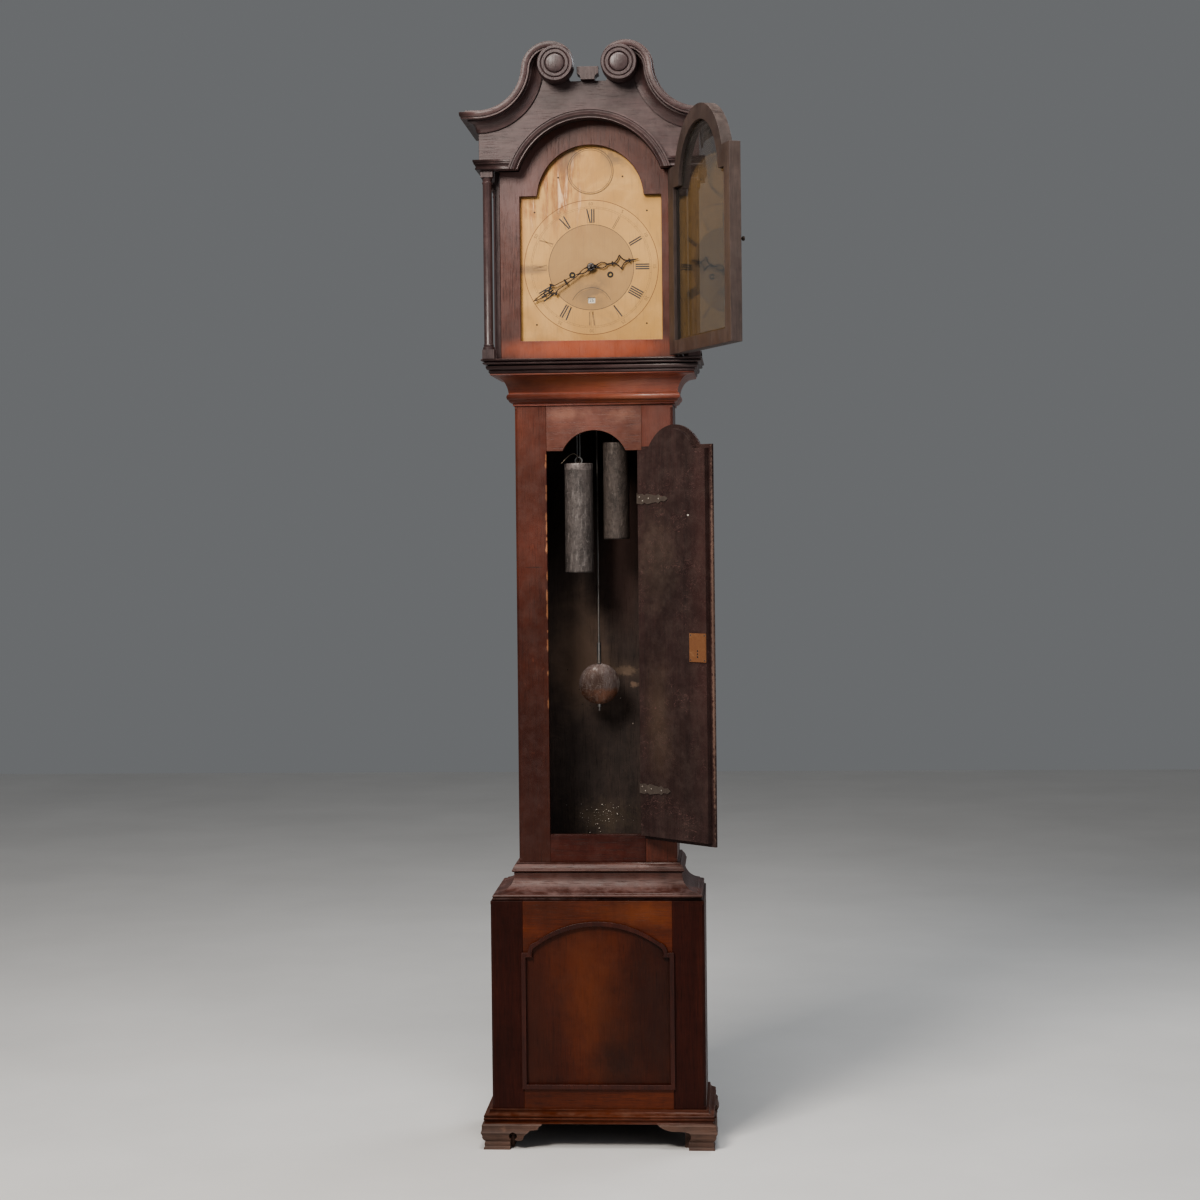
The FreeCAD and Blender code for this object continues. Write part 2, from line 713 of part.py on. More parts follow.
straps, fixed = [], []
for level in (z_trunk + hinge_low_up, z_trunk + hinge_high_up):
    outline = [(hinge_edge + x, level + z) for x, z in strap_outline()]
    strap = front_prism(outline, door_back, door_back + strap_thick)
    high = leaf_high / 2
    wrap = box(hinge_edge, hinge_edge + leaf_thick, pivot_y, door_back + strap_thick, level + gap,
               level + high)
    knuckle = rod(knuckle_r, V(pivot_x, pivot_y, level + gap), V(pivot_x, pivot_y, level + high))
    bridge = box(hinge_edge, pivot_x, pivot_y - leaf_thick, pivot_y + leaf_thick, level + gap, level + high)
    bore_r = hinge_pin_r + running_fit
    bore = rod(bore_r, V(pivot_x, pivot_y, level - overrun), V(pivot_x, pivot_y, level + overrun))
    knuckle = knuckle.fuse(bridge).fuse(wrap).cut(bore)
    foot_of_strap = box(hinge_edge, hinge_edge + leaf_thick, door_back, door_back + strap_thick,
                        level - strap_high * strap_foot_share, level + high)
    straps.append(swung_open(strap.fuse(knuckle).fuse(foot_of_strap).removeSplitter()))
    lower = rod(knuckle_r, V(pivot_x, pivot_y, level - high), V(pivot_x, pivot_y, level))
    plate = box(opening_half - leaf_thick, opening_half, pivot_y, trunk_front, level - high, level)
    pin = rod(hinge_pin_r, V(pivot_x, pivot_y, level), V(pivot_x, pivot_y, level + high + 2 * gap))
    fixed.append(lower.fuse(plate).fuse(pin).removeSplitter())
save("trunk_door_straps", straps)
save("trunk_hinge_plates", fixed)
lock_x = -opening_half + door_gap
plate = box(lock_x, lock_x + lock_wide, door_back, door_back + lock_thick, z_trunk + lock_up,
            z_trunk + lock_up + lock_high)
save("trunk_lock", swung_open(plate))

# Hood, which slides forward off the trunk

hood_run = moulding(HOOD_BASE_PROFILE_SHARES, hood_base_out - gap, hood_base_out - gap, hood_base_high - gap,
                    trunk_half + gap, -trunk_deep - gap, -gap, z_hood + gap)
save("hood_base_frame", hood_run)
y_front = -hood_deep


def arched(half, low, shoulder, radius, centre):
    """Outline of a rectangle with a round arch standing on its shoulders."""
    spring = math.sqrt(radius ** 2 - (shoulder - centre) ** 2)
    if spring < half:
        rise = (centre + radius - shoulder) / (2 * spring)
        return [(-half, low), (half, low), (half, shoulder), (spring, shoulder),
                (-spring, shoulder, rise), (-half, shoulder)]
    return [(-half, low), (half, low), (half, shoulder), (-half, shoulder)]


z_sight = z_floor + sight_foot_up
z_sight_shoulder = z_floor + sight_shoulder_up
mask = front_prism(arched(mask_half, z_floor, z_shoulder, hood_arch_r, z_arch), y_mask, y_mask + mask_thick)
sight = front_prism(arched(sight_half, z_sight, z_sight_shoulder, sight_arch_r,
                           z_sight_shoulder - sight_arch_drop),
                    y_mask - overrun, y_mask + overrun)
save("mask_frame", mask.cut(sight))

# Swan necks: the upper line runs level, turns up in a hollow and curls over the rosette

hollow_x = tympanum_half
hollow_r = ((hollow_x - curl_x) ** 2 + curl_above ** 2 - curl_r ** 2) / (2 * (curl_above + curl_r))
hollow = V(hollow_x, y_front, z_neck + hollow_r)
curl = V(curl_x, y_front, z_neck + curl_above)
toward = hollow - curl
meet = math.degrees(math.atan2(toward.z, toward.x))
tip = curl + V(-math.cos(math.radians(curl_turn)), 0, math.sin(math.radians(curl_turn))) * (curl_r - tip_r)
cornice_profile = chorded(scaled(CORNICE_PROFILE_SHARES, neck_out, neck_wide), profile_chords)
cornice_shares = [(out / neck_out, up / neck_wide) for out, up in cornice_profile]


def at_angle(centre, radius, degrees):
    """A point round a centre on the hood's front, from +X and upwards."""
    turn = math.radians(degrees)
    return centre + V(math.cos(turn) * radius, 0, math.sin(turn) * radius)


def neck_arc(profile, centre, radius, start, end, inward):
    """One arc of a neck: a profile turned about the arc's centre."""
    sign = -1 if inward else 1

    def place(out, up):
        return at_angle(centre, radius + sign * (neck_wide - up), start) + V(0, -out, 0)

    return Part.Face(path(profile, place)).revolve(centre, V(0, -1, 0), end - start)


crown_low = neck_wide * corona_share
crown_profile = [(0, crown_low)] + [point for point in cornice_profile if point[1] >= crown_low]
z_cornice = z_neck - neck_wide
cornice_run = moulding(cornice_shares, neck_out, neck_out, neck_wide, hollow_x, y_front, -gap, z_cornice)
level_start = box(hollow_x, hollow_x + 2 * neck_out, y_front - 2 * neck_out, 0, z_cornice, z_neck)
neck = cornice_run[0].common(level_start)
neck = neck.fuse(neck_arc(cornice_profile, hollow, hollow_r, meet - HALF_TURN, -QUARTER_TURN, False))
neck = neck.fuse(neck_arc(cornice_profile, curl, curl_r, meet, HALF_TURN - curl_turn, True))
neck = neck.fuse(neck_arc(crown_profile, tip, tip_r, HALF_TURN - curl_turn, HALF_TURN - tip_end, True))
rosette_centre = V(rosette_x, y_front, z_neck + rosette_above)
socket = rod(rosette_r + gap, rosette_centre + V(0, overrun, 0), rosette_centre - V(0, 2 * overrun, 0))
save("swan_necks", both(neck.cut(socket).removeSplitter()) + cornice_run[1:])
rosette = turned(scaled(ROSETTE_SHARES, rosette_r, rosette_out), rosette_centre, "forward")
save("rosettes", both(rosette))


def arc_share(degrees):
    """Rise of an arc of so many degrees, as a share of its chord."""
    return math.tan(math.radians(degrees) / 4) / 2


half_wide = neck_wide / 2
hollow_point = at_angle(hollow, hollow_r + half_wide, meet - HALF_TURN)
curl_point = at_angle(curl, curl_r - half_wide, HALF_TURN - curl_turn)
hollow_rise = -arc_share(HALF_TURN - meet - QUARTER_TURN)
curl_rise = arc_share(HALF_TURN - curl_turn - meet)
half_outline = [(tympanum_half, z_neck - half_wide), (hollow_point.x, hollow_point.z, hollow_rise),
                (curl_point.x, curl_point.z, curl_rise),
                (finial_block_half + finial_block_foot_half, z_neck + saddle_above)]
far_outline = [(-half_outline[3][0], half_outline[3][1]), (-curl_point.x, curl_point.z),
               (-hollow_point.x, hollow_point.z, curl_rise),
               (-tympanum_half, z_neck - half_wide, hollow_rise)]
y_board_back = y_front + tympanum_thick
board = [(-tympanum_half, z_shoulder), (tympanum_half, z_shoulder)] + half_outline + far_outline
board = front_prism(board, y_front, y_board_back)
arch_hole = rod(hood_arch_r, V(0, -hood_deep - 2 * overrun, z_arch), V(0, 0, z_arch))
save("tympanum", board.cut(arch_hole))

# Arch moulding with its level ends and side returns

shoulder_run = moulding(SHOULDER_PROFILE_SHARES, shoulder_out, shoulder_out, shoulder_high, tympanum_half,
                        y_front, -gap, z_shoulder)
arch_outer = rod(hood_arch_r + arch_bead_wide, V(0, -hood_deep - 2 * overrun, z_arch), V(0, 0, z_arch))
arch_section = [(hood_arch_r + row[1] * arch_bead_wide, row[0] * arch_bead_out) + tuple(row[2:])
                for row in SHOULDER_PROFILE_SHARES]
arch_ring = turned(arch_section, V(0, y_front, z_arch), "forward")
above = box(-hood_deep, hood_deep, y_front - overrun, y_front, z_shoulder, z_neck + saddle_above)
save("arch_moulding", [arch_ring.common(above), shoulder_run[0].cut(arch_outer)] + shoulder_run[1:])

# Finial block between the rosettes

block = [(-finial_block_foot_half, 0), (finial_block_foot_half, 0),
         (finial_block_half, finial_block_neck, -ear_rise_share), (finial_block_half, finial_block_high),
         (-finial_block_half, finial_block_high), (-finial_block_half, finial_block_neck),
         (-finial_block_foot_half, 0, -ear_rise_share)]
block = [(row[0], z_neck + saddle_above + row[1]) + tuple(row[2:]) for row in block]
save("finial_block", front_prism(block, y_front - finial_block_deep / 2, y_board_back))

# Hood sides above the columns, and the arched roof

upper = box(tympanum_half - hood_side_thick, tympanum_half, y_board_back, -gap, z_shoulder,
            z_cornice + half_wide)
ledge = box(hood_side_half - hood_side_thick, tympanum_half - hood_side_thick, y_board_back, -gap,
            z_shoulder, z_shoulder + hood_side_thick)
side = box(hood_side_half - hood_side_thick, hood_side_half, y_mask + mask_thick, -gap, z_floor, z_shoulder)
save("hood_sides", both(side) + both(upper) + both(ledge))
roof_out_r = hood_arch_r + roof_thick
shell = ring(roof_out_r, hood_arch_r, V(0, y_board_back, z_arch), V(0, -gap, z_arch))
ledge_top = z_shoulder + hood_side_thick
shell = shell.common(box(-hood_deep, hood_deep, -hood_deep, 0, ledge_top, z_neck))
inner_x = math.sqrt(hood_arch_r ** 2 - (ledge_top - z_arch) ** 2)
flat = box(inner_x, tympanum_half - hood_side_thick, y_board_back, -gap, ledge_top, ledge_top + roof_thick)
roof = shell.fuse(flat).fuse(mirrored(flat)).cut(rod(hood_arch_r, V(0, -hood_deep, z_arch), V(0, 0, z_arch)))
save("hood_roof", roof.removeSplitter())

# Columns: free-standing in front, half round against the back


def column(x, y):
    """A turned column on its square plinth and under its square capital."""
    shaft_low, shaft_high = z_floor + column_plinth_high, z_shoulder - column_capital_high
    points = scaled(COLUMN_SHARES, column_r, shaft_high - shaft_low)
    shaft = turned([(0, 0)] + points + [(0, shaft_high - shaft_low)], V(x, y, shaft_low), "up")
    half = column_block / 2
    low = box(x - half, x + half, y - half, y + half, z_floor, shaft_low)
    high = box(x - half, x + half, y - half, y + half, shaft_high, z_shoulder)
    return shaft.fuse(low).fuse(high).removeSplitter()


rear_column = column(column_x, -rear_column_back)
save("columns", both(column(column_x, y_front + column_back)) + both(rear_column))

# Hood door, drawn shut and then swung open about its pivots

y_door = y_front + hood_door_front
y_door_back = y_door + hood_door_thick
hood_pivot = V(hood_door_half - pivot_inset, y_door + pivot_back, 0)


def hood_swung(shape):
    """The hood door's pieces as they stand in the open pose."""
    moved = shape.copy()
    moved.rotate(hood_pivot, V(0, 0, 1), hood_door_open)
    return moved


z_door_foot = z_floor + hood_door_gap
z_door_top = z_shoulder - hood_door_gap
door_r = hood_arch_r - hood_door_arch_gap
outline = arched(hood_door_half, z_door_foot, z_door_top, door_r, z_arch)
light_r = door_r - hood_door_arch_wide
light_half, light_foot = hood_door_half - hood_door_stile, z_door_foot + hood_door_rail
light = arched(light_half, light_foot, z_sight_shoulder, light_r, z_arch)
rebate = arched(light_half + glass_bite, light_foot - glass_bite, z_sight_shoulder + glass_bite,
                light_r + glass_bite, z_arch)
y_glass = y_door + hood_door_thick * glass_share
door = front_prism(outline, y_door, y_door_back)
door = door.cut(front_prism(light, y_door - overrun, y_door_back + overrun))
door = door.cut(front_prism(rebate, y_glass, y_door_back + overrun))
bore_r = pivot_r + running_fit
for level in (z_door_foot, z_door_top):
    deep = V(0, 0, pivot_depth)
    door = door.cut(rod(bore_r, hood_pivot + V(0, 0, level) - deep, hood_pivot + V(0, 0, level) + deep))
save("hood_door_frame", hood_swung(door))
save("hood_door_glass", hood_swung(front_prism(rebate, y_glass, y_glass + glass_thick)))
low_pin = rod(pivot_r, hood_pivot + V(0, 0, z_floor), hood_pivot + V(0, 0, z_door_foot + pivot_depth - gap))
high_pin = rod(pivot_r, hood_pivot + V(0, 0, z_door_top - pivot_depth + gap),
               hood_pivot + V(0, 0, z_shoulder))
save("hood_door_pivots", [low_pin, high_pin])
knob_at = V(-hood_door_half + hood_door_stile * knob_share, y_door, z_floor + knob_up)
knob_neck_r = knob_r * neck_share
knob = turned([(0, 0), (knob_neck_r, 0), (knob_neck_r, knob_long * neck_share),
               (knob_r, knob_long * knob_body_share), (knob_neck_r, knob_long, knob_round_share),
               (0, knob_long)], knob_at, "forward")
save("hood_door_knob", hood_swung(knob))

# Dial plate with its boss, and the calendar ring behind its window

y_dial_back = y_dial + dial_thick
z_winding = z_dial - winding_drop
z_calendar = z_dial - calendar_drop
plate = front_prism(arched(dial_half, z_dial - dial_half, z_dial + dial_half, dial_arch_r,
                           z_dial + dial_arch_up),
                    y_dial, y_dial_back)
boss_at = V(0, y_dial, z_dial + boss_up)
plate = plate.fuse(rod(boss_r, boss_at, boss_at - V(0, boss_out, 0)))
plate = plate.cut(rod(centre_hole_r, V(0, y_dial - overrun, z_dial), V(0, y_dial_back + overrun, z_dial)))
for side in (-1, 1):
    at = V(side * winding_x, y_dial - overrun, z_winding)
    plate = plate.cut(rod(winding_hole_r, at, at + V(0, 2 * overrun, 0)))
plate = plate.cut(box(-calendar_wide / 2, calendar_wide / 2, y_dial - overrun, y_dial_back + overrun,
                      z_calendar - calendar_high / 2, z_calendar + calendar_high / 2))
save("dial_plate", plate)
y_calendar = y_dial_back + gap
calendar_start, calendar_end = V(0, y_calendar, z_dial), V(0, y_calendar + calendar_thick, z_dial)
save("calendar_ring", ring(calendar_out_r, calendar_in_r, calendar_start, calendar_end))

# Places of the arbors, worked out from the counts of teeth

centre_reach = (centre_teeth + third_leaves) / 2 * centre_module
z_third = z_dial + math.sqrt(centre_reach ** 2 - third_x ** 2)
third_reach = (third_teeth + escape_leaves) / 2 * third_module
z_escape = z_third + math.sqrt(third_reach ** 2 - third_x ** 2)
z_pallet = z_escape + escape_r * math.sqrt(2)
great_reach = math.sqrt(winding_x ** 2 + winding_drop ** 2)
great_module = 2 * great_reach / (great_teeth + centre_leaves)
z_minute = z_dial - motion_teeth * motion_module
z_hammer = z_dial + hammer_up
hour_module = 2 * motion_teeth * motion_module / (hour_teeth + motion_leaves)
y_barrel = y_gap + barrel_front_gap
y_barrel_back = y_barrel + barrel_long
y_great = y_barrel_back + wheel_gap
y_centre_wheel = y_back_plate - wheel_gap - 2 * wheel_thick - wheel_gap
y_third_wheel = y_gap + wheel_gap
y_escape_wheel = y_gap + plate_gap * escape_plane_share


def tooth_points(teeth, module, phase, add):
    """Straight-sided teeth round the origin, as (x, z) points."""
    root, tip = module * (teeth / 2 - root_share), module * (teeth / 2 + add)
    pitch = 2 * math.pi / teeth
    points = []
    for index in range(teeth):
        middle = math.radians(phase) + index * pitch
        for radius, share in ((root, -root_width_share), (tip, -tip_width_share),
                              (tip, tip_width_share), (root, root_width_share)):
            turn = middle + share * pitch
            points.append((radius * math.cos(turn), radius * math.sin(turn)))
    return points


def toothed(teeth, module, x, z, y0, y1, phase, add):
    """A toothed blank at an arbor's place."""
    points = [(x + px, z + pz) for px, pz in tooth_points(teeth, module, phase, add)]
    return front_prism(points, y0, y1)


def crossed(wheel, rim_r, hub_r, arm, x, z, y0, y1):
    """Cuts a wheel's web away between four arms."""
    web = ring(rim_r, hub_r, V(x, y0, z), V(x, y1, z))
    web = web.cut(box(x - rim_r, x + rim_r, y0, y1, z - arm / 2, z + arm / 2))
    web = web.cut(box(x - arm / 2, x + arm / 2, y0, y1, z - rim_r, z + rim_r))
    return wheel.cut(web)


def arbor(x, z, front, back):
    """A steel arbor between the plates with its two pivots in them."""
    body = rod(arbor_r, V(x, y_gap + gap, z), V(x, y_back_plate - gap, z))
    return body.fuse(rod(pin_pivot_r, V(x, front, z), V(x, back, z)))


def direction(x0, z0, x1, z1):
    """Angle from one arbor to another, in degrees from +X upwards."""
    return math.degrees(math.atan2(z1 - z0, x1 - x0))


def gap_phase(angle, teeth):
    """The phase that turns a gap between two teeth towards an angle."""
    return angle + HALF_TURN + HALF_TURN / teeth


# Going train

to_centre = direction(winding_x, z_winding, 0, z_dial)
great = toothed(great_teeth, great_module, winding_x, z_winding, y_great, y_great + wheel_thick, to_centre,
                wheel_add_share)
bore_r = barrel_arbor_r + running_fit
great = great.cut(rod(bore_r, V(winding_x, y_great - overrun, z_winding),
                      V(winding_x, y_back_plate, z_winding)))
save("going_great_wheel", great)
pinion_front, pinion_back = y_great - wheel_thick, y_great + 2 * wheel_thick
centre = toothed(centre_leaves, great_module, 0, z_dial, pinion_front, pinion_back,
                 gap_phase(to_centre, centre_leaves), leaf_add_share)
to_third = direction(0, z_dial, third_x, z_third)
wheel = toothed(centre_teeth, centre_module, 0, z_dial, y_centre_wheel, y_centre_wheel + wheel_thick,
                to_third, wheel_add_share)
centre_rim = centre_module * (centre_teeth / 2 - rim_share)
wheel = crossed(wheel, centre_rim, hub_r, arm_wide, 0, z_dial, y_centre_wheel, y_centre_wheel + wheel_thick)
centre_bar = rod(arbor_r, V(0, y_dial - hand_stack, z_dial), V(0, y_back_plate - gap, z_dial))
rear_pivot = rod(pin_pivot_r, V(0, y_back_plate - overrun, z_dial), V(0, y_movement_back, z_dial))
centre_bar = centre_bar.fuse(rear_pivot)
save("centre_arbor", centre_bar.fuse(centre).fuse(wheel))
third = toothed(third_leaves, centre_module, third_x, z_third, y_centre_wheel - wheel_thick,
                y_centre_wheel + 2 * wheel_thick, gap_phase(to_third, third_leaves), leaf_add_share)
to_escape = direction(third_x, z_third, 0, z_escape)
wheel = toothed(third_teeth, third_module, third_x, z_third, y_third_wheel, y_third_wheel + wheel_thick,
                to_escape, wheel_add_share)
third_rim = third_module * (third_teeth / 2 - rim_share)
wheel = crossed(wheel, third_rim, hub_r, arm_wide, third_x, z_third, y_third_wheel,
                y_third_wheel + wheel_thick)
save("third_arbor", arbor(third_x, z_third, y_plate, y_movement_back).fuse(third).fuse(wheel))
escape = toothed(escape_leaves, third_module, 0, z_escape, y_third_wheel - wheel_gap / 2,
                 y_third_wheel + 2 * wheel_thick, gap_phase(to_escape, escape_leaves), leaf_add_share)
points = []
for index in range(escape_teeth):
    start = index * 2 * math.pi / escape_teeth
    for radius, turn in ((escape_r * escape_root_share, start), (escape_r, start + escape_lean),
                         (escape_r, start + escape_lean + escape_land)):
        points.append((radius * math.cos(turn), z_escape + radius * math.sin(turn)))
wheel = front_prism(points, y_escape_wheel, y_escape_wheel + wheel_thick)
wheel = crossed(wheel, escape_r * escape_rim_share, hub_r, arm_wide, 0, z_escape, y_escape_wheel,
                y_escape_wheel + wheel_thick)
save("escape_arbor", arbor(0, z_escape, y_plate, y_movement_back).fuse(escape).fuse(wheel))

# Anchor and crutch

tip_r_clear = (escape_r + pallet_clear) / math.sqrt(2)
tip_z = z_escape + tip_r_clear
reach = escape_r
half_anchor = [(reach * anchor_crown_share, z_pallet + hub_r * anchor_crown_share),
               (reach * anchor_elbow_share, z_pallet - hub_r), (reach * anchor_arm_share, tip_z + gap),
               (tip_r_clear + anchor_tip, tip_z - anchor_tip * pallet_back_share), (tip_r_clear, tip_z),
               (reach * anchor_inside_share, z_pallet - hub_r * pallet_root_share),
               (hub_r, z_pallet - hub_r * anchor_web_share)]
anchor = [(0, z_pallet + hub_r)] + half_anchor + [(-x, z) for x, z in reversed(half_anchor)]
anchor = front_prism(anchor[::-1], y_escape_wheel - wheel_thick / 2, y_escape_wheel + 3 * wheel_thick / 2)
y_crutch = y_movement_back + crutch_behind
bar = rod(arbor_r, V(0, y_gap + gap, z_pallet), V(0, y_back_plate - gap, z_pallet))
y_cock = y_pendulum - spring_wide / 2 - cock_thick - gap
bar = bar.fuse(rod(pin_pivot_r, V(0, y_plate, z_pallet), V(0, y_cock + cock_thick, z_pallet)))
z_fork = z_pallet - crutch_long
crutch = rod(wire_r, V(0, y_crutch, z_pallet), V(0, y_crutch, z_fork))
prong = box(rod_r + gap, rod_r + gap + 2 * wire_r, y_crutch - wire_r, y_pendulum + rod_r, z_fork - wire_r,
            z_fork + wire_r)
bridge = box(-rod_r - gap, rod_r + gap, y_crutch - wire_r, y_crutch + wire_r, z_fork - wire_r,
             z_fork + wire_r)
save("anchor_crutch", anchor.fuse(bar).fuse(crutch).fuse(bridge).fuse(prong).fuse(mirrored(prong)))

# Motion work and hands


def hand_blank(shares, long, angle, y0, thick):
    """A flat shape with the given half outline, pointing clockwise of twelve."""
    turn = math.radians(angle)
    half_outline = scaled(shares, long, long)
    outline = half_outline + [(along, -half) for along, half in reversed(half_outline)]
    placed = [(along * math.sin(turn) + half * math.cos(turn),
               z_dial + along * math.cos(turn) - half * math.sin(turn)) for along, half in outline]
    return front_prism(placed[::-1], y0, y0 + thick)


def hand(shares, holes, long, angle, y0):
    """A pierced hand with its round boss."""
    blade = hand_blank(shares, long, angle, y0, hand_thick)
    for hole in holes:
        blade = blade.cut(hand_blank(hole, long, angle, y0 - hand_thick, 3 * hand_thick))
    return blade.fuse(rod(hand_boss_r, V(0, y0, z_dial), V(0, y0 + hand_thick, z_dial)))


y_cannon = y_plate - plate_front_gap - wheel_thick
y_hour_wheel = y_cannon - wheel_gap - wheel_thick
y_minute_hand = y_dial - hand_stack
y_hour_hand = y_minute_hand + hand_thick + hand_gap
pipe_in, pipe_out = arbor_r + running_fit, arbor_r + pipe_wall
hour_in, hour_out = pipe_out + pipe_gap, pipe_out + pipe_gap + pipe_wall
cannon = toothed(motion_teeth, motion_module, 0, z_dial, y_cannon, y_cannon + wheel_thick, -QUARTER_TURN,
                 wheel_add_share)
cannon = cannon.fuse(rod(pipe_out, V(0, y_minute_hand, z_dial), V(0, y_cannon, z_dial)))
minute = hand(MINUTE_HAND_SHARES, MINUTE_HOLES_SHARES, minute_hand_long, minute_hand_turn, y_minute_hand)
core = rod(pipe_in, V(0, y_dial - overrun, z_dial), V(0, y_plate, z_dial))
save("minute_hand", minute.fuse(cannon).cut(core))
hour_wheel = toothed(hour_teeth, hour_module, 0, z_dial, y_hour_wheel, y_hour_wheel + wheel_thick,
                     -QUARTER_TURN, wheel_add_share)
hour_pipe = rod(hour_out, V(0, y_hour_hand, z_dial), V(0, y_hour_wheel, z_dial))
hour = hand(HOUR_HAND_SHARES, HOUR_HOLES_SHARES, hour_hand_long, hour_hand_turn, y_hour_hand)
core = rod(hour_in, V(0, y_dial - overrun, z_dial), V(0, y_plate, z_dial))
save("hour_hand", hour.fuse(hour_pipe).fuse(hour_wheel).cut(core))
up = gap_phase(-QUARTER_TURN, motion_teeth)
minute_wheel = toothed(motion_teeth, motion_module, 0, z_minute, y_cannon, y_cannon + wheel_thick, up,
                       wheel_add_share)
up = gap_phase(-QUARTER_TURN, motion_leaves)
leaves = toothed(motion_leaves, hour_module, 0, z_minute, y_hour_wheel - wheel_gap / 2, y_cannon, up,
                 leaf_add_share)
stud_bore = rod(pin_pivot_r + running_fit, V(0, y_dial, z_minute), V(0, y_plate, z_minute))
save("minute_wheel", minute_wheel.fuse(leaves).cut(stud_bore))

# Barrels on their arbors, wound from the front


def barrel(side):
    """A line barrel and its arbor, with the winding square in the dial's hole."""
    x = side * winding_x
    drum = rod(barrel_r, V(x, y_barrel, z_winding), V(x, y_barrel_back, z_winding))
    shaft = rod(barrel_arbor_r, V(x, y_plate - plate_front_gap, z_winding),
                V(x, y_back_plate - gap, z_winding))
    tail = rod(arbor_r, V(x, y_great, z_winding), V(x, y_movement_back, z_winding))
    half = winding_square / 2
    square = box(x - half, x + half, y_dial + dial_thick / 2, y_plate - gap, z_winding - half,
                 z_winding + half)
    return drum.fuse(shaft).fuse(tail).fuse(square)


save("going_barrel", barrel(1))
strike = toothed(strike_teeth, strike_module, -winding_x, z_winding, y_great, y_great + wheel_thick, 0,
                 wheel_add_share)
save("strike_barrel", barrel(-1).fuse(strike))

# Plates, pillars, dial feet and the back cock

pivots = [(third_x, z_third), (0, z_escape), (0, z_pallet), (hammer_x, z_hammer)]


def drilled(board, x, z, radius):
    """Bores a hole through a plate."""
    return board.cut(rod(radius, V(x, -hood_deep, z), V(x, 0, z)))


z_plate_low, z_plate_high = z_dial - plate_below, z_dial + plate_above
front_plate = box(-plate_half, plate_half, y_plate, y_gap, z_plate_low, z_plate_high)
back_plate = box(-plate_half, plate_half, y_back_plate, y_movement_back, z_plate_low, z_plate_high)
for x, z in pivots:
    front_plate = drilled(front_plate, x, z, pin_pivot_r + pivot_fit)
    back_plate = drilled(back_plate, x, z, pin_pivot_r + pivot_fit)
front_plate = drilled(front_plate, 0, z_dial, arbor_r + pivot_fit)
back_plate = drilled(back_plate, 0, z_dial, pin_pivot_r + pivot_fit)
for side in (-1, 1):
    front_plate = drilled(front_plate, side * winding_x, z_winding, barrel_arbor_r + pivot_fit)
    back_plate = drilled(back_plate, side * winding_x, z_winding, arbor_r + pivot_fit)
stud = rod(pin_pivot_r, V(0, y_hour_wheel - wheel_gap / 2, z_minute), V(0, y_plate, z_minute))
posts = []
for x in (-plate_half + pillar_inset, plate_half - pillar_inset):
    for z in (z_plate_low + pillar_inset, z_plate_high - pillar_inset):
        posts.append(rod(pillar_r, V(x, y_gap, z), V(x, y_back_plate, z)))
        posts.append(rod(pillar_r * neck_share, V(x, y_dial_back, z), V(x, y_plate, z)))
save("movement_pillars", posts)
z_cock = z_pallet + spring_high * neck_share
cock = box(-cock_half, cock_half, y_cock, y_cock + cock_thick, z_pallet - hub_r, z_cock + cock_thick)
shelf = box(-spring_wide, spring_wide, y_cock, y_pendulum + spring_wide / 2, z_cock, z_cock + cock_thick)
cock = drilled(cock, 0, z_pallet, pin_pivot_r + pivot_fit).fuse(shelf)
for side in (-1, 1):
    x = side * (cock_half - pillar_r)
    cock = cock.fuse(rod(pillar_r, V(x, y_movement_back, z_pallet), V(x, y_cock, z_pallet)))
save("movement_plates", [front_plate.fuse(stud), back_plate, cock])

# Seatboard with holes for the lines

seat = box(-trunk_half, trunk_half, y_plate - seatboard_out, y_movement_back + seatboard_out, z_cheek,
           z_seat)
line_x = barrel_r + line_r
for side in (-1, 1):
    fall = side * winding_x + line_x
    seat = seat.cut(rod(line_hole_r, V(fall, y_weight, z_cheek - gap), V(fall, y_weight, z_seat + gap)))
save("seatboard", seat)

# Weights, pulleys and lines


line_corners = [index * 2 * math.pi / line_sides for index in range(line_sides)]


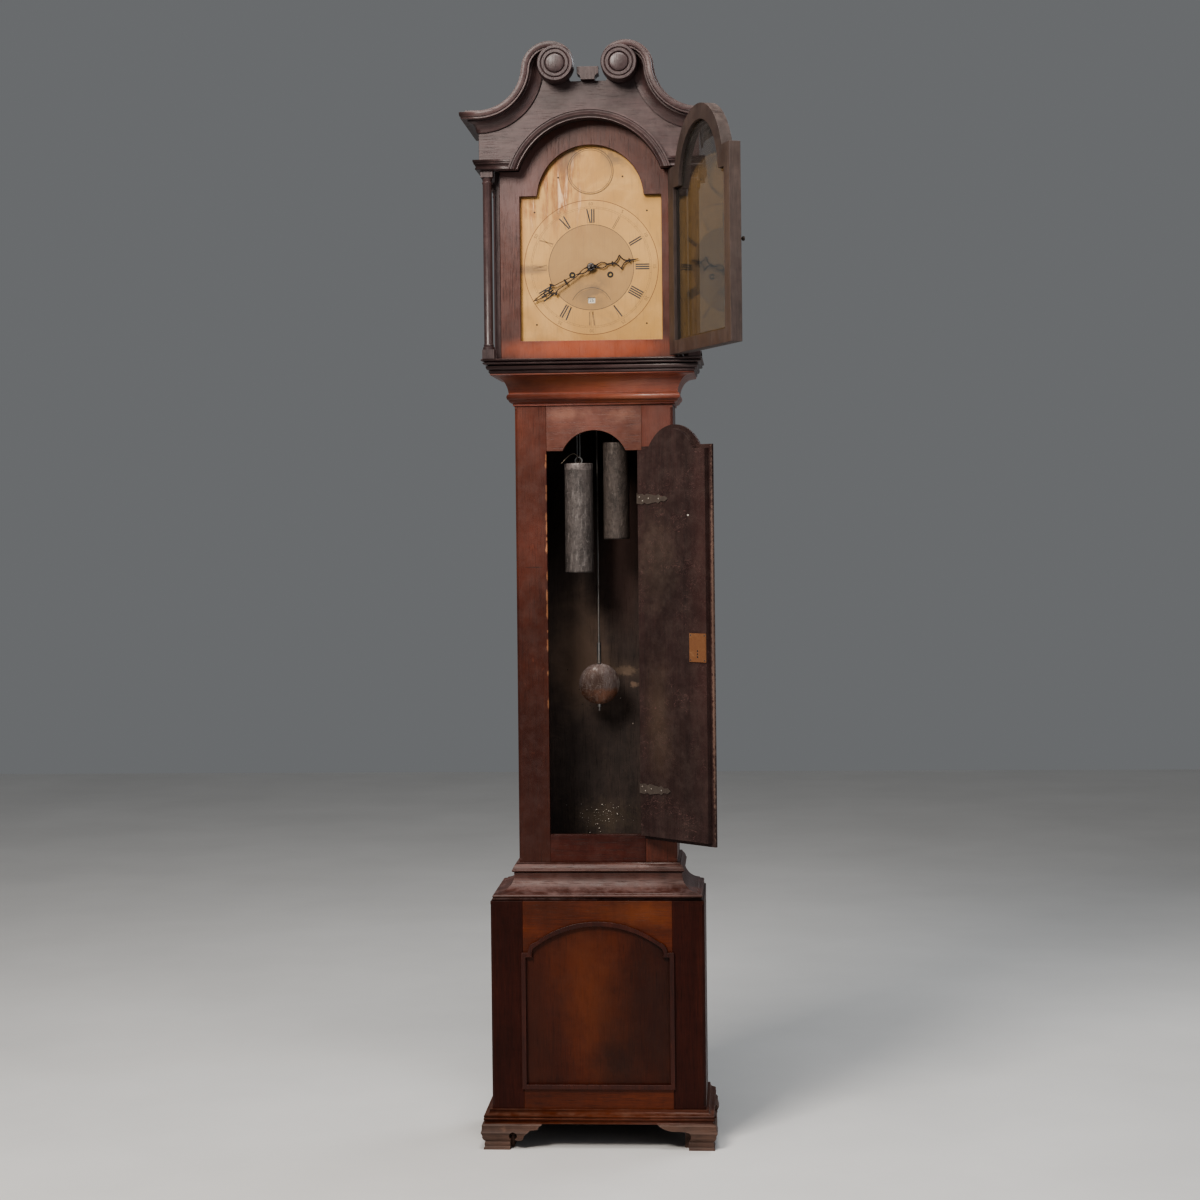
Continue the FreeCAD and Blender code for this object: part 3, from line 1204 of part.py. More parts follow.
def hung_weight(side, radius, high, low, hanger):
    """A lead weight with its eye, its pulley in a stirrup and the line over the pulley."""
    fall = side * winding_x + line_x
    x, top = fall - pulley_r, low + high
    edge = radius * weight_edge_share
    outline = [(radius * row[0], high * row[1] + edge * row[2]) for row in WEIGHT_SHARES]
    lead = turned(outline, V(x, y_weight, low), "up")
    eye_at = V(x, y_weight, top + weight_eye_r * eye_sunk_share)
    eye = ring(weight_eye_r + wire_r, weight_eye_r - wire_r, eye_at - V(0, wire_r, 0),
               eye_at + V(0, wire_r, 0))
    z_foot = top + weight_eye_r + hanger
    leg_foot = eye_at.z + weight_eye_r - wire_r / 2
    legs = [rod(wire_r * wire_thin_share, V(x + s * hanger_half, y_weight, leg_foot),
                V(x + s * hanger_half, y_weight, z_foot)) for s in (-1, 1)]
    z_axle = z_foot + pulley_r + pulley_flange + 2 * wire_r
    inner_half = pulley_thick / 2 + gap
    block = box(x - stirrup_half, x + stirrup_half, y_weight - inner_half - wire_r,
                y_weight + inner_half + wire_r,
                z_foot, z_foot + wire_r)
    cheeks = [box(x - stirrup_half, x + stirrup_half, y, y + wire_r, z_foot, z_axle + stirrup_half)
              for y in (y_weight - inner_half - wire_r, y_weight + inner_half)]
    axle = rod(wire_r, V(x, y_weight - inner_half, z_axle), V(x, y_weight + inner_half, z_axle))
    stirrup = block.fuse(cheeks[0]).fuse(cheeks[1]).fuse(axle)
    half = pulley_thick / 2
    groove = pulley_r - line_r - gap
    bed, flange, hole_r = half * groove_half_share, pulley_r + pulley_flange, wire_r + running_fit
    sheave = turned([(hole_r, -half), (flange, -half), (groove, -bed), (groove, bed), (flange, half),
                     (hole_r, half)], V(x, y_weight, z_axle), "forward")
    tied = x - pulley_r
    section = [(line_r * math.cos(turn), line_r * math.sin(turn)) for turn in line_corners]
    down = plan_prism([(fall + px, y_weight + py) for px, py in section], z_axle, z_winding)
    rising = plan_prism([(tied + px, y_weight + py) for px, py in section], z_axle, z_cheek)
    wire = path([(fall + px, y_weight + py) for px, py in section], lambda px, py: V(px, py, z_axle))
    under = Part.Face(wire).revolve(V(x, y_weight, z_axle), V(0, 1, 0), HALF_TURN)
    body = lead.fuse(eye).fuse(legs[0]).fuse(legs[1]).fuse(stirrup)
    return body, sheave, down.fuse(under).fuse(rising)


weights = (("left", -1, left_weight_r, left_weight_high, left_weight_up, left_hanger),
           ("right", 1, right_weight_r, right_weight_high, right_weight_up, right_hanger))
for name, side, radius, high, low, hanger in weights:
    body, sheave, line = hung_weight(side, radius, high, low, hanger)
    save(name + "_weight", body)
    save(name + "_pulley", sheave)
    save(name + "_line", line)

# Pendulum

z_bob = z_pallet - bob_drop
half = bob_thick / 2
edge = half * bob_edge_share
bob = turned([(0, -half), (bob_r, -edge, bob_rise_share), (bob_r, edge), (0, half, bob_rise_share)],
             V(0, y_pendulum, z_bob), "forward")
bore = rod(rod_r, V(0, y_pendulum, z_bob - bob_r), V(0, y_pendulum, z_bob + bob_r))
save("pendulum_bob", bob.cut(bore))
z_rod_top = z_pallet - spring_high * neck_share
z_rod_low = z_bob - bob_r - rating_screw_long
shaft = rod(rod_r, V(0, y_pendulum, z_rod_low), V(0, y_pendulum, z_rod_top))
sleeve = rod(sleeve_r, V(0, y_pendulum, z_bob + bob_r), V(0, y_pendulum, z_bob + bob_r + sleeve_high))
strip = box(-spring_thick / 2, spring_thick / 2, y_pendulum - spring_wide / 2, y_pendulum + spring_wide / 2,
            z_rod_top - spring_high * neck_share, z_cock - gap)
nut_low = z_bob - bob_r - rating_nut_high
nut = rod(rating_nut_r, V(0, y_pendulum, nut_low), V(0, y_pendulum, nut_low + rating_nut_high))
save("pendulum_rod", shaft.fuse(sleeve).fuse(strip).fuse(nut))

# Bell on its stand

z_bell = z_dial + bell_up
bell_high = bell_r * bell_high_share
inner_r = bell_r - bell_thick
bell = turned([(inner_r, 0), (bell_r, 0), (stirrup_half, bell_high, bell_rise_share), (0, bell_high),
               (0, bell_high - bell_thick), (stirrup_half, bell_high - bell_thick),
               (inner_r, 0, -bell_rise_share)], V(0, y_weight, z_bell), "up")
z_stand = z_bell + bell_high
post_x = plate_half - pillar_inset
post = box(post_x - stirrup_half, post_x, y_movement_back, y_movement_back + cock_thick,
           z_plate_high - 2 * pillar_inset, z_stand + cock_thick)
beam = box(-stirrup_half, post_x, y_weight - stirrup_half, y_movement_back + cock_thick, z_stand,
           z_stand + cock_thick)
save("bell", [bell, post.fuse(beam)])

# Bell hammer on its arbor, lying just clear of the rim

z_head = z_bell + hammer_head_r
head_x = -bell_r - hammer_rest_gap - hammer_head_long / 2
head = rod(hammer_head_r, V(head_x - hammer_head_long / 2, y_weight, z_head),
           V(head_x + hammer_head_long / 2, y_weight, z_head))
stem = rod(wire_r, V(hammer_x, y_weight, z_hammer), V(head_x, y_weight, z_head))
tail = rod(wire_r, V(hammer_x, y_weight, z_hammer),
           V(hammer_x + hammer_tail, y_weight, z_hammer - hammer_tail / 2))
collar = rod(pillar_r, V(hammer_x, y_weight - pillar_r, z_hammer),
             V(hammer_x, y_weight + pillar_r, z_hammer))
hammer = arbor(hammer_x, z_hammer, y_plate, y_movement_back).fuse(collar)
save("bell_hammer", hammer.fuse(stem).fuse(head).fuse(tail))
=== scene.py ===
"""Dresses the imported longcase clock: woods, metals, dial engraving, lines and a plain studio."""

import json
import logging
import math
import random
from collections.abc import Sequence
from dataclasses import dataclass, field
from enum import Enum

import bmesh
import bpy
from mathutils import Matrix, Vector, noise
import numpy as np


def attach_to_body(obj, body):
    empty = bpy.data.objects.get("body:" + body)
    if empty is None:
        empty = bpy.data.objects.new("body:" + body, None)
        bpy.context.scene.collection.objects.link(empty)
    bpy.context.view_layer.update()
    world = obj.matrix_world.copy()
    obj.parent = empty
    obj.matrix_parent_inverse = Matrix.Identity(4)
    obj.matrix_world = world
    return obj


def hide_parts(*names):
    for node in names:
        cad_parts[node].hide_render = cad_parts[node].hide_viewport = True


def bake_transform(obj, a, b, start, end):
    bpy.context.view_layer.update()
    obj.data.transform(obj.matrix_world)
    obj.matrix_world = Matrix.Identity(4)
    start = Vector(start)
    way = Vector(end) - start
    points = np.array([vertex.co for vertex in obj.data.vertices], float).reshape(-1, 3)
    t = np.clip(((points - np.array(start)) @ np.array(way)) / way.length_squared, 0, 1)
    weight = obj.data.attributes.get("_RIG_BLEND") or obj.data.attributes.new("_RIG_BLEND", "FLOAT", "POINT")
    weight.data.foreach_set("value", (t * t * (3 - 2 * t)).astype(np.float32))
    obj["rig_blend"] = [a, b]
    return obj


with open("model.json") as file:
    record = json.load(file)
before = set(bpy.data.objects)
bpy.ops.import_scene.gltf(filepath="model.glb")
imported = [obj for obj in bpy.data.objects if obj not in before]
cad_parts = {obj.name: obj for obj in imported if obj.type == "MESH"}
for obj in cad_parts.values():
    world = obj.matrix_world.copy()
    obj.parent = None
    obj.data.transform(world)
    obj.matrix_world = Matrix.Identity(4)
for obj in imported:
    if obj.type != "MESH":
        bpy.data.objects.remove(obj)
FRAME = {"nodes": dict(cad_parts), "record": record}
LOG = logging.getLogger("longcase_clock")
TOUCHING = 2e-6
TONE_STOPS = (0.3, 0.5, 0.72)
SHARP = math.radians(32.0)

Point = tuple[float, float, float]
Colour = tuple[float, float, float]
Outline = Sequence[tuple[float, float]]
FORWARD: Point = (0.0, -1.0, 0.0)
LEFT_X = -0.0355
RIGHT_X = 0.0429
LINES_Y = -0.1345
LEFT_TOP = 1.406
DIAL_CENTRE: Point = (0.0, -0.2105, 1.808)
CHAPTER_OUTER = 0.1384
CHAPTER_INNER = 0.088
BOSS_UP = 0.198
SLAB_SIDES = ((0, 1, 2, 3), (4, 7, 6, 5), (0, 4, 5, 1), (1, 5, 6, 2), (2, 6, 7, 3), (3, 7, 4, 0))


# Shader maths.


def scaled(colour: Colour, share: float) -> Colour:
    """A colour with all its channels scaled, none above 1."""
    return tuple(min(1.0, channel * share) for channel in colour)


class Shade:
    """A number, colour or vector socket that adds nodes when it is used in an expression."""

    def __init__(self, graph: "Graph", socket: bpy.types.NodeSocket) -> None:
        """Keeps the socket and the graph that it belongs to."""
        self.graph = graph
        self.socket = socket

    def _maths(self, operation: str, first: "Shade | float", second: "Shade | float") -> "Shade":
        """Adds one Math node."""
        return self.graph.node("ShaderNodeMath", {"operation": operation}, {0: first, 1: second})

    def __add__(self, other: "Shade | float") -> "Shade":
        """Sum."""
        return self._maths("ADD", self, other)

    def __radd__(self, other: float) -> "Shade":
        """Sum with a number on the left."""
        return self._maths("ADD", other, self)

    def __sub__(self, other: "Shade | float") -> "Shade":
        """Difference."""
        return self._maths("SUBTRACT", self, other)

    def __rsub__(self, other: float) -> "Shade":
        """Difference with a number on the left."""
        return self._maths("SUBTRACT", other, self)

    def __mul__(self, other: "Shade | float") -> "Shade":
        """Product."""
        return self._maths("MULTIPLY", self, other)

    def __rmul__(self, other: float) -> "Shade":
        """Product with a number on the left."""
        return self._maths("MULTIPLY", other, self)

    def __truediv__(self, other: "Shade | float") -> "Shade":
        """Quotient."""
        return self._maths("DIVIDE", self, other)

    def __rtruediv__(self, other: float) -> "Shade":
        """Quotient with a number on the left."""
        return self._maths("DIVIDE", other, self)

    def __pow__(self, power: float) -> "Shade":
        """Power."""
        return self._maths("POWER", self, power)

    def __abs__(self) -> "Shade":
        """Size without its sign."""
        return self._maths("ABSOLUTE", self, 0.0)

    def at_most(self, other: "Shade | float") -> "Shade":
        """The smaller of two values."""
        return self._maths("MINIMUM", self, other)

    def step(self, low: float, high: float) -> "Shade":
        """A smooth step from 0 at low to 1 at high.

        Args:
            low: The value that gives 0.
            high: The value that gives 1.

        Returns:
            The stepped value.
        """
        values = {"Value": self, "From Min": low, "From Max": high, "To Min": 0.0, "To Max": 1.0}
        return self.graph.node("ShaderNodeMapRange", {"interpolation_type": "SMOOTHSTEP"}, values)


class Graph:
    """The node tree of one material."""

    def __init__(self, name: str) -> None:
        """Starts a material that has only its output node.

        Args:
            name: The material's name.
        """
        self.material = bpy.data.materials.new(name)
        self.material.use_nodes = True
        self.tree = self.material.node_tree
        self.tree.nodes.clear()
        self.output = self.tree.nodes.new("ShaderNodeOutputMaterial")

    def node(self, kind: str, settings: dict | None = None, values: dict | None = None,
             result: int | str = 0) -> Shade:
        """Adds one node, sets it and links it.

        Args:
            kind: The node's type.
            settings: Attributes that are set first; "stops" holds a ramp's (place, colour) pairs.
            values: Values or links by socket name or number.
            result: The output socket to hand back.

        Returns:
            The wrapped output socket.
        """
        made = self.tree.nodes.new(kind)
        for key, value in (settings or {}).items():
            if key == "stops":
                self._stops(made, value)
            else:
                setattr(made, key, value)
        for key, value in (values or {}).items():
            socket = self._input(made, key)
            if isinstance(value, Shade):
                self.tree.links.new(value.socket, socket)
            else:
                socket.default_value = value
        outputs = [socket for socket in made.outputs if socket.enabled]
        chosen = outputs[result] if isinstance(result, int) else next(s for s in outputs if s.name == result)
        return Shade(self, chosen)

    @staticmethod
    def _input(made: bpy.types.Node, key: int | str) -> bpy.types.NodeSocket:
        """Finds an enabled input.

        Args:
            made: The node.
            key: The input's name or number.

        Returns:
            The input socket.
        """
        if isinstance(key, int):
            return made.inputs[key]
        return next(socket for socket in made.inputs if socket.enabled and socket.name == key)

    @staticmethod
    def _stops(made: bpy.types.Node, stops: Sequence[tuple[float, Colour]]) -> None:
        """Fills a colour ramp.

        Args:
            made: The ramp's node.
            stops: (place, colour) pairs from left to right.
        """
        elements = made.color_ramp.elements
        while len(elements) < len(stops):
            elements.new(0.5)
        for element, (place, colour) in zip(elements, stops):
            element.position = place
            element.color = (*colour, 1.0)

    def place(self, scale: Point = (1, 1, 1), turn: Point = (0, 0, 0), shift: Point = (0, 0, 0)) -> Shade:
        """Object coordinates, scaled, turned and moved.

        Args:
            scale: The factor along each axis.
            turn: The turn round each axis, in radians.
            shift: The move along each axis.

        Returns:
            The coordinates.
        """
        objects = self.node("ShaderNodeTexCoord", result="Object")
        return self.node("ShaderNodeMapping", None,
                         {"Vector": objects, "Scale": scale, "Rotation": turn, "Location": shift})

    def axis(self, name: str) -> Shade:
        """One Object coordinate, in metres."""
        objects = self.node("ShaderNodeTexCoord", result="Object")
        return self.node("ShaderNodeSeparateXYZ", None, {0: objects}, name)

    def facing(self, name: str) -> Shade:
        """One part of the surface's own direction."""
        normal = self.node("ShaderNodeTexCoord", result="Normal")
        return self.node("ShaderNodeSeparateXYZ", None, {0: normal}, name)

    def noise(self, where: Shade, scale: float, detail: float = 4.0, rough: float = 0.55,
              bend: float = 0.0) -> Shade:
        """A noise value from 0 to 1."""
        return self.node("ShaderNodeTexNoise", None, {
            "Vector": where, "Scale": scale, "Detail": detail, "Roughness": rough, "Distortion": bend})

    def spots(self, where: Shade, scale: float) -> Shade:
        """Distance to the nearest of scattered points."""
        return self.node("ShaderNodeTexVoronoi", None, {"Vector": where, "Scale": scale})

    def ramp(self, value: Shade, stops: Sequence[tuple[float, Colour]]) -> Shade:
        """A colour ramp."""
        return self.node("ShaderNodeValToRGB", {"stops": stops}, {0: value})

    def blend(self, share: Shade | float, first: Shade | Colour, second: Shade | Colour,
              mode: str = "MIX") -> Shade:
        """Mixes two colours.

        Args:
            share: How much of the second shows, from 0 to 1.
            first: The first colour.
            second: The second colour.
            mode: Blender's name for the kind of mix.

        Returns:
            The mixed colour.
        """
        colours = [c if isinstance(c, Shade) else (*c, 1.0) for c in (first, second)]
        return self.node("ShaderNodeMix", {"data_type": "RGBA", "blend_type": mode},
                         {"Factor": share, "A": colours[0], "B": colours[1]})

    def bump(self, height: Shade, strength: float, distance: float) -> Shade:
        """A Bump node's normal."""
        return self.node("ShaderNodeBump", None,
                         {"Height": height, "Strength": strength, "Distance": distance})

    def finish(self, values: dict) -> bpy.types.Material:
        """Ends the material in a Principled shader.

        Args:
            values: Values or links of the shader's sockets by name.

        Returns:
            The material.
        """
        shader = self.node("ShaderNodeBsdfPrincipled", None, values)
        self.tree.links.new(shader.socket, self.output.inputs["Surface"])
        return self.material


class Grain(Enum):
    """The way that the grain of a board runs."""

    ACROSS = (1.0, 0.0, 0.0)
    DEEP = (0.0, 1.0, 0.0)
    UP = (0.0, 0.0, 1.0)


@dataclass(frozen=True)
class Mark:
    """A ragged patch of another tone, by its place and half sizes seen from the front."""

    x: float
    z: float
    half_wide: float
    half_high: float
    tone: Colour
    strength: float = 0.6
    ragged: float = 0.5
    scale: float = 60.0
    soft: float = 0.8

    def over(self, g: Graph, colour: Shade) -> Shade:
        """Lays the mark over a colour.

        Args:
            g: The material's graph.
            colour: The colour so far.

        Returns:
            The marked colour.
        """
        across = (g.axis("X") - self.x) / self.half_wide
        up = (g.axis("Z") - self.z) / self.half_high
        shift = (self.x * 9.0, 0.0, self.z * 7.0)
        edge = (g.noise(g.place(shift=shift), self.scale, 5.0, 0.62, 0.3) - 0.5) * (2.4 * self.ragged)
        reach = (across * across + up * up) ** 0.5 + edge
        covered = 1.0 - reach.step(1.0 - self.soft, 1.0 + self.soft * 0.6)
        return g.blend(covered * self.strength, colour, self.tone)


@dataclass(frozen=True)
class Wood:
    """Old mahogany, oak or pine: grain, pores, marks, grime, worn places, flecks and settled dust."""

    name: str
    grain: Grain
    dark: Colour
    middle: Colour
    light: Colour
    dust: Colour = (0.19, 0.15, 0.135)
    dust_share: float = 0.25
    grime: float = 0.5
    wear: float = 0.35
    roughness: float = 0.42
    coat: float = 0.12
    pores: float = 1.0
    figure: float = 1.0
    scuffs: float = 0.0
    specular: float = 0.5
    outer: dict[str, Colour] | None = None
    outer_way: tuple[float, float] = (0.682, 0.731)  # the open door's outer side, as x and y
    marks: tuple[Mark, ...] = ()
    seed: float = 0.0

    def _along(self, across: float, along: float) -> Point:
        """A scale that stretches a pattern along the grain."""
        return tuple(along if part else across for part in self.grain.value)

    def _flow(self, g: Graph) -> Shade:
        """The broad figure of the board.

        Args:
            g: The material's graph.

        Returns:
            A value from 0 to 1.
        """
        shift = (self.seed, self.seed * 0.7, self.seed * 1.3)
        bands = g.noise(g.place(self._along(1.0, 0.1), shift=shift), 26.0 * self.figure, 5.0, 0.6, 1.3)
        ribbon = g.noise(g.place(self._along(1.0, 0.3), shift=shift), 9.0, 3.0, 0.5, 0.8)
        fiddle = g.noise(g.place(self._along(0.35, 1.0), shift=shift), 85.0, 3.0, 0.55, 0.9)
        return bands * 0.45 + ribbon * 0.38 + fiddle * 0.17

    def _scuffed(self, g: Graph, colour: Shade, shift: Point) -> Shade:
        """Lays fine curling scratches over a colour.

        Args:
            g: The material's graph.
            colour: The colour so far.
            shift: Where this board's patterns start.

        Returns:
            The scratched colour.
        """
        curl = g.noise(g.place((1, 1, 1.6), shift=shift), 21.0, 3.0, 0.6, 2.4)
        line = 1.0 - abs(curl - 0.5).step(0.0, 0.011)
        place = g.noise(g.place(shift=shift), 13.0, 3.0, 0.6).step(0.44, 0.62)
        return g.blend(line * place * self.scuffs, colour, scaled(self.light, 1.9))

    def material(self) -> bpy.types.Material:
        """Builds the finish.

        Returns:
            The material.
        """
        g = Graph(self.name)
        shift = (self.seed * 1.7, self.seed, self.seed * 0.4)
        flow = self._flow(g)
        fine = g.noise(g.place(self._along(1.0, 0.05), shift=shift), 330.0, 3.0, 0.65, 0.2)
        pores = g.noise(g.place(self._along(1.0, 0.03), shift=shift), 900.0, 2.0, 0.5).step(0.58, 0.72)
        tone = flow * 0.72 + fine * 0.28
        colour = g.ramp(tone, tuple(zip(TONE_STOPS, (self.dark, self.middle, self.light))))
        colour = g.blend(pores * (0.6 * self.pores), colour, scaled(self.dark, 0.35))
        for mark in self.marks:
            colour = mark.over(g, colour)
        if self.outer is not None:
            shown = g.ramp(tone, tuple(zip(TONE_STOPS, self.outer.values())))
            side = g.facing("X") * self.outer_way[0] + g.facing("Y") * self.outer_way[1]
            colour = g.blend(side.step(0.3, 0.5), colour, shown)
        patch = g.noise(g.place((1, 1, 0.7), shift=shift), 4.2, 5.0, 0.6, 0.6)
        colour = g.blend(patch.step(0.42, 0.72) * self.grime, colour, scaled(self.dark, 0.5))
        rubbed = g.noise(g.place(self._along(1.0, 0.45), shift=shift), 60.0, 6.0, 0.72).step(0.6, 0.78)
        colour = g.blend(rubbed * self.wear * 0.55, colour, scaled(self.light, 1.5))
        if self.scuffs:
            colour = self._scuffed(g, colour, shift)
        flecks = g.spots(g.place(self._along(1.0, 0.6), shift=shift), 210.0)
        fleck = (1.0 - flecks.step(0.0, 0.14)) * g.noise(g.place(shift=shift), 23.0).step(0.52, 0.68)
        colour = g.blend(fleck * 0.6 * self.wear, colour, self.dust)
        up = g.facing("Z").step(0.35, 0.95)
        cloud = g.noise(g.place(shift=shift), 36.0, 5.0, 0.7)
        dusty = (up * 0.75 + 0.25) * cloud.step(0.36, 0.75) * self.dust_share
        colour = g.blend(dusty, colour, self.dust)
        rough = self.roughness + dusty * 0.5 + pores * 0.1 + (cloud - 0.5) * 0.22 + rubbed * 0.08
        height = pores * -0.8 + fine * 0.45 + cloud * 0.4 + rubbed * 0.25
        return g.finish({"Base Color": colour, "Roughness": rough.at_most(0.95),
                         "Coat Weight": self.coat, "Coat Roughness": 0.32,
                         "Specular IOR Level": self.specular, "Normal": g.bump(height, 0.45, 0.0007)})


@dataclass(frozen=True)
class Metal:
    """Brass, steel, lead or bell metal with its stains."""

    name: str
    base: Colour
    stain: Colour
    bright: Colour
    metallic: float = 1.0
    roughness: float = 0.35
    stain_share: float = 0.5
    stain_scale: float = 9.0
    grit: float = 0.3
    grit_scale: float = 420.0
    pitted: float = 0.0
    seed: float = 0.0

    def material(self) -> bpy.types.Material:
        """Builds the finish.

        Returns:
            The material.
        """
        g = Graph(self.name)
        shift = (self.seed, self.seed * 0.6, self.seed * 1.9)
        cloud = g.noise(g.place(shift=shift), self.stain_scale, 6.0, 0.62, 0.7)
        fine = g.noise(g.place(shift=shift), self.grit_scale, 4.0, 0.65)
        speck = g.noise(g.place(shift=shift), self.stain_scale * 14, 5.0, 0.7).step(0.56, 0.72)
        stained = cloud.step(0.38, 0.72) * self.stain_share
        colour = g.blend(stained, self.base, self.stain)
        colour = g.blend(speck * self.stain_share * 0.6, colour, scaled(self.stain, 0.7))
        rub = (1.0 - cloud).step(0.5, 0.72) * fine.step(0.35, 0.7)
        colour = g.blend(rub * 0.5, colour, self.bright)
        pits = g.spots(g.place(shift=shift), self.grit_scale * 0.4).step(0.0, 0.5)
        height = fine * self.grit + pits * self.pitted + cloud * self.pitted
        rough = (self.roughness + stained * 0.3 + (fine - 0.5) * 0.2 + speck * 0.12).at_most(0.95)
        metal = self.metallic - stained * 0.25 * self.metallic
        return g.finish({"Base Color": colour, "Roughness": rough, "Metallic": metal,
                         "Normal": g.bump(height, 0.35, 0.0005)})


@dataclass(frozen=True)
class CastMetal:
    """Rough cast lead or brass whose upper part has another tone than its lower part."""

    name: str
    upper: Colour
    lower: Colour
    bright: Colour
    split: float
    soft: float = 0.006
    metallic: float = 0.3
    roughness: float = 0.62
    seed: float = 0.0

    def material(self) -> bpy.types.Material:
        """Builds the finish.

        Returns:
            The material.
        """
        g = Graph(self.name)
        shift = (self.seed, self.seed * 0.6, self.seed * 1.9)
        drift = (g.noise(g.place(shift=shift), 60.0, 5.0, 0.65, 0.5) - 0.5) * (4.0 * self.soft)
        share = (g.axis("Z") + drift).step(self.split - self.soft, self.split + self.soft)
        colour = g.blend(share, self.lower, self.upper)
        cloud = g.noise(g.place((1, 1, 0.6), shift=shift), 34.0, 6.0, 0.66, 0.7)
        colour = g.blend(cloud.step(0.44, 0.64) * 0.75, colour, scaled(self.lower, 0.35))
        mottle = g.noise(g.place((1, 1, 0.7), shift=shift), 150.0, 4.0, 0.7, 0.4)
        colour = g.blend(mottle.step(0.5, 0.62) * 0.55, colour, scaled(self.lower, 0.4))
        streak = g.noise(g.place((1, 1, 0.16), shift=shift), 190.0, 4.0, 0.66)
        colour = g.blend(streak.step(0.52, 0.7) * (0.35 + share * 0.3), colour, self.bright)
        curl = g.noise(g.place((1, 1, 0.7), shift=shift), 48.0, 3.0, 0.6, 2.2)
        scratch = 1.0 - abs(curl - 0.5).step(0.0, 0.016)
        colour = g.blend(scratch * cloud.step(0.38, 0.6) * 0.5, colour, self.bright)
        grit = g.noise(g.place(shift=shift), 520.0, 4.0, 0.7)
        colour = g.blend(grit.step(0.56, 0.7) * 0.45, colour, scaled(self.lower, 0.3))
        rough = (self.roughness + (cloud - 0.5) * 0.3 + (grit - 0.5) * 0.2).at_most(0.95)
        height = grit * 0.8 + cloud * 1.2 + mottle * 1.1 + scratch * 0.5
        return g.finish({"Base Color": colour, "Roughness": rough, "Metallic": self.metallic,
                         "Normal": g.bump(height, 0.6, 0.0009)})


@dataclass(frozen=True)
class Glass:
    """Thin old glass with faint dust."""

    name: str
    tint: Colour

    def material(self) -> bpy.types.Material:
        """Builds the finish: mostly clear, with a coat of reflections.

        Returns:
            The material.
        """
        g = Graph(self.name)
        film = g.noise(g.place(), 14.0, 5.0, 0.65, 0.4)
        smear = g.noise(g.place((1, 1, 0.2)), 90.0, 4.0, 0.7).step(0.5, 0.8)
        alpha = 0.42 + film.step(0.45, 0.85) * 0.1 + smear * 0.05
        ripple = g.noise(g.place(), 7.0, 2.0, 0.5)
        tint = g.blend(film.step(0.5, 0.8) * 0.5, self.tint, (0.1, 0.095, 0.08))
        shader = {"Base Color": tint, "Roughness": 0.03, "Alpha": alpha, "IOR": 1.7,
                  "Normal": g.bump(ripple, 0.1, 0.0006)}
        made = g.finish(shader)
        made.surface_render_method = "BLENDED"
        return made


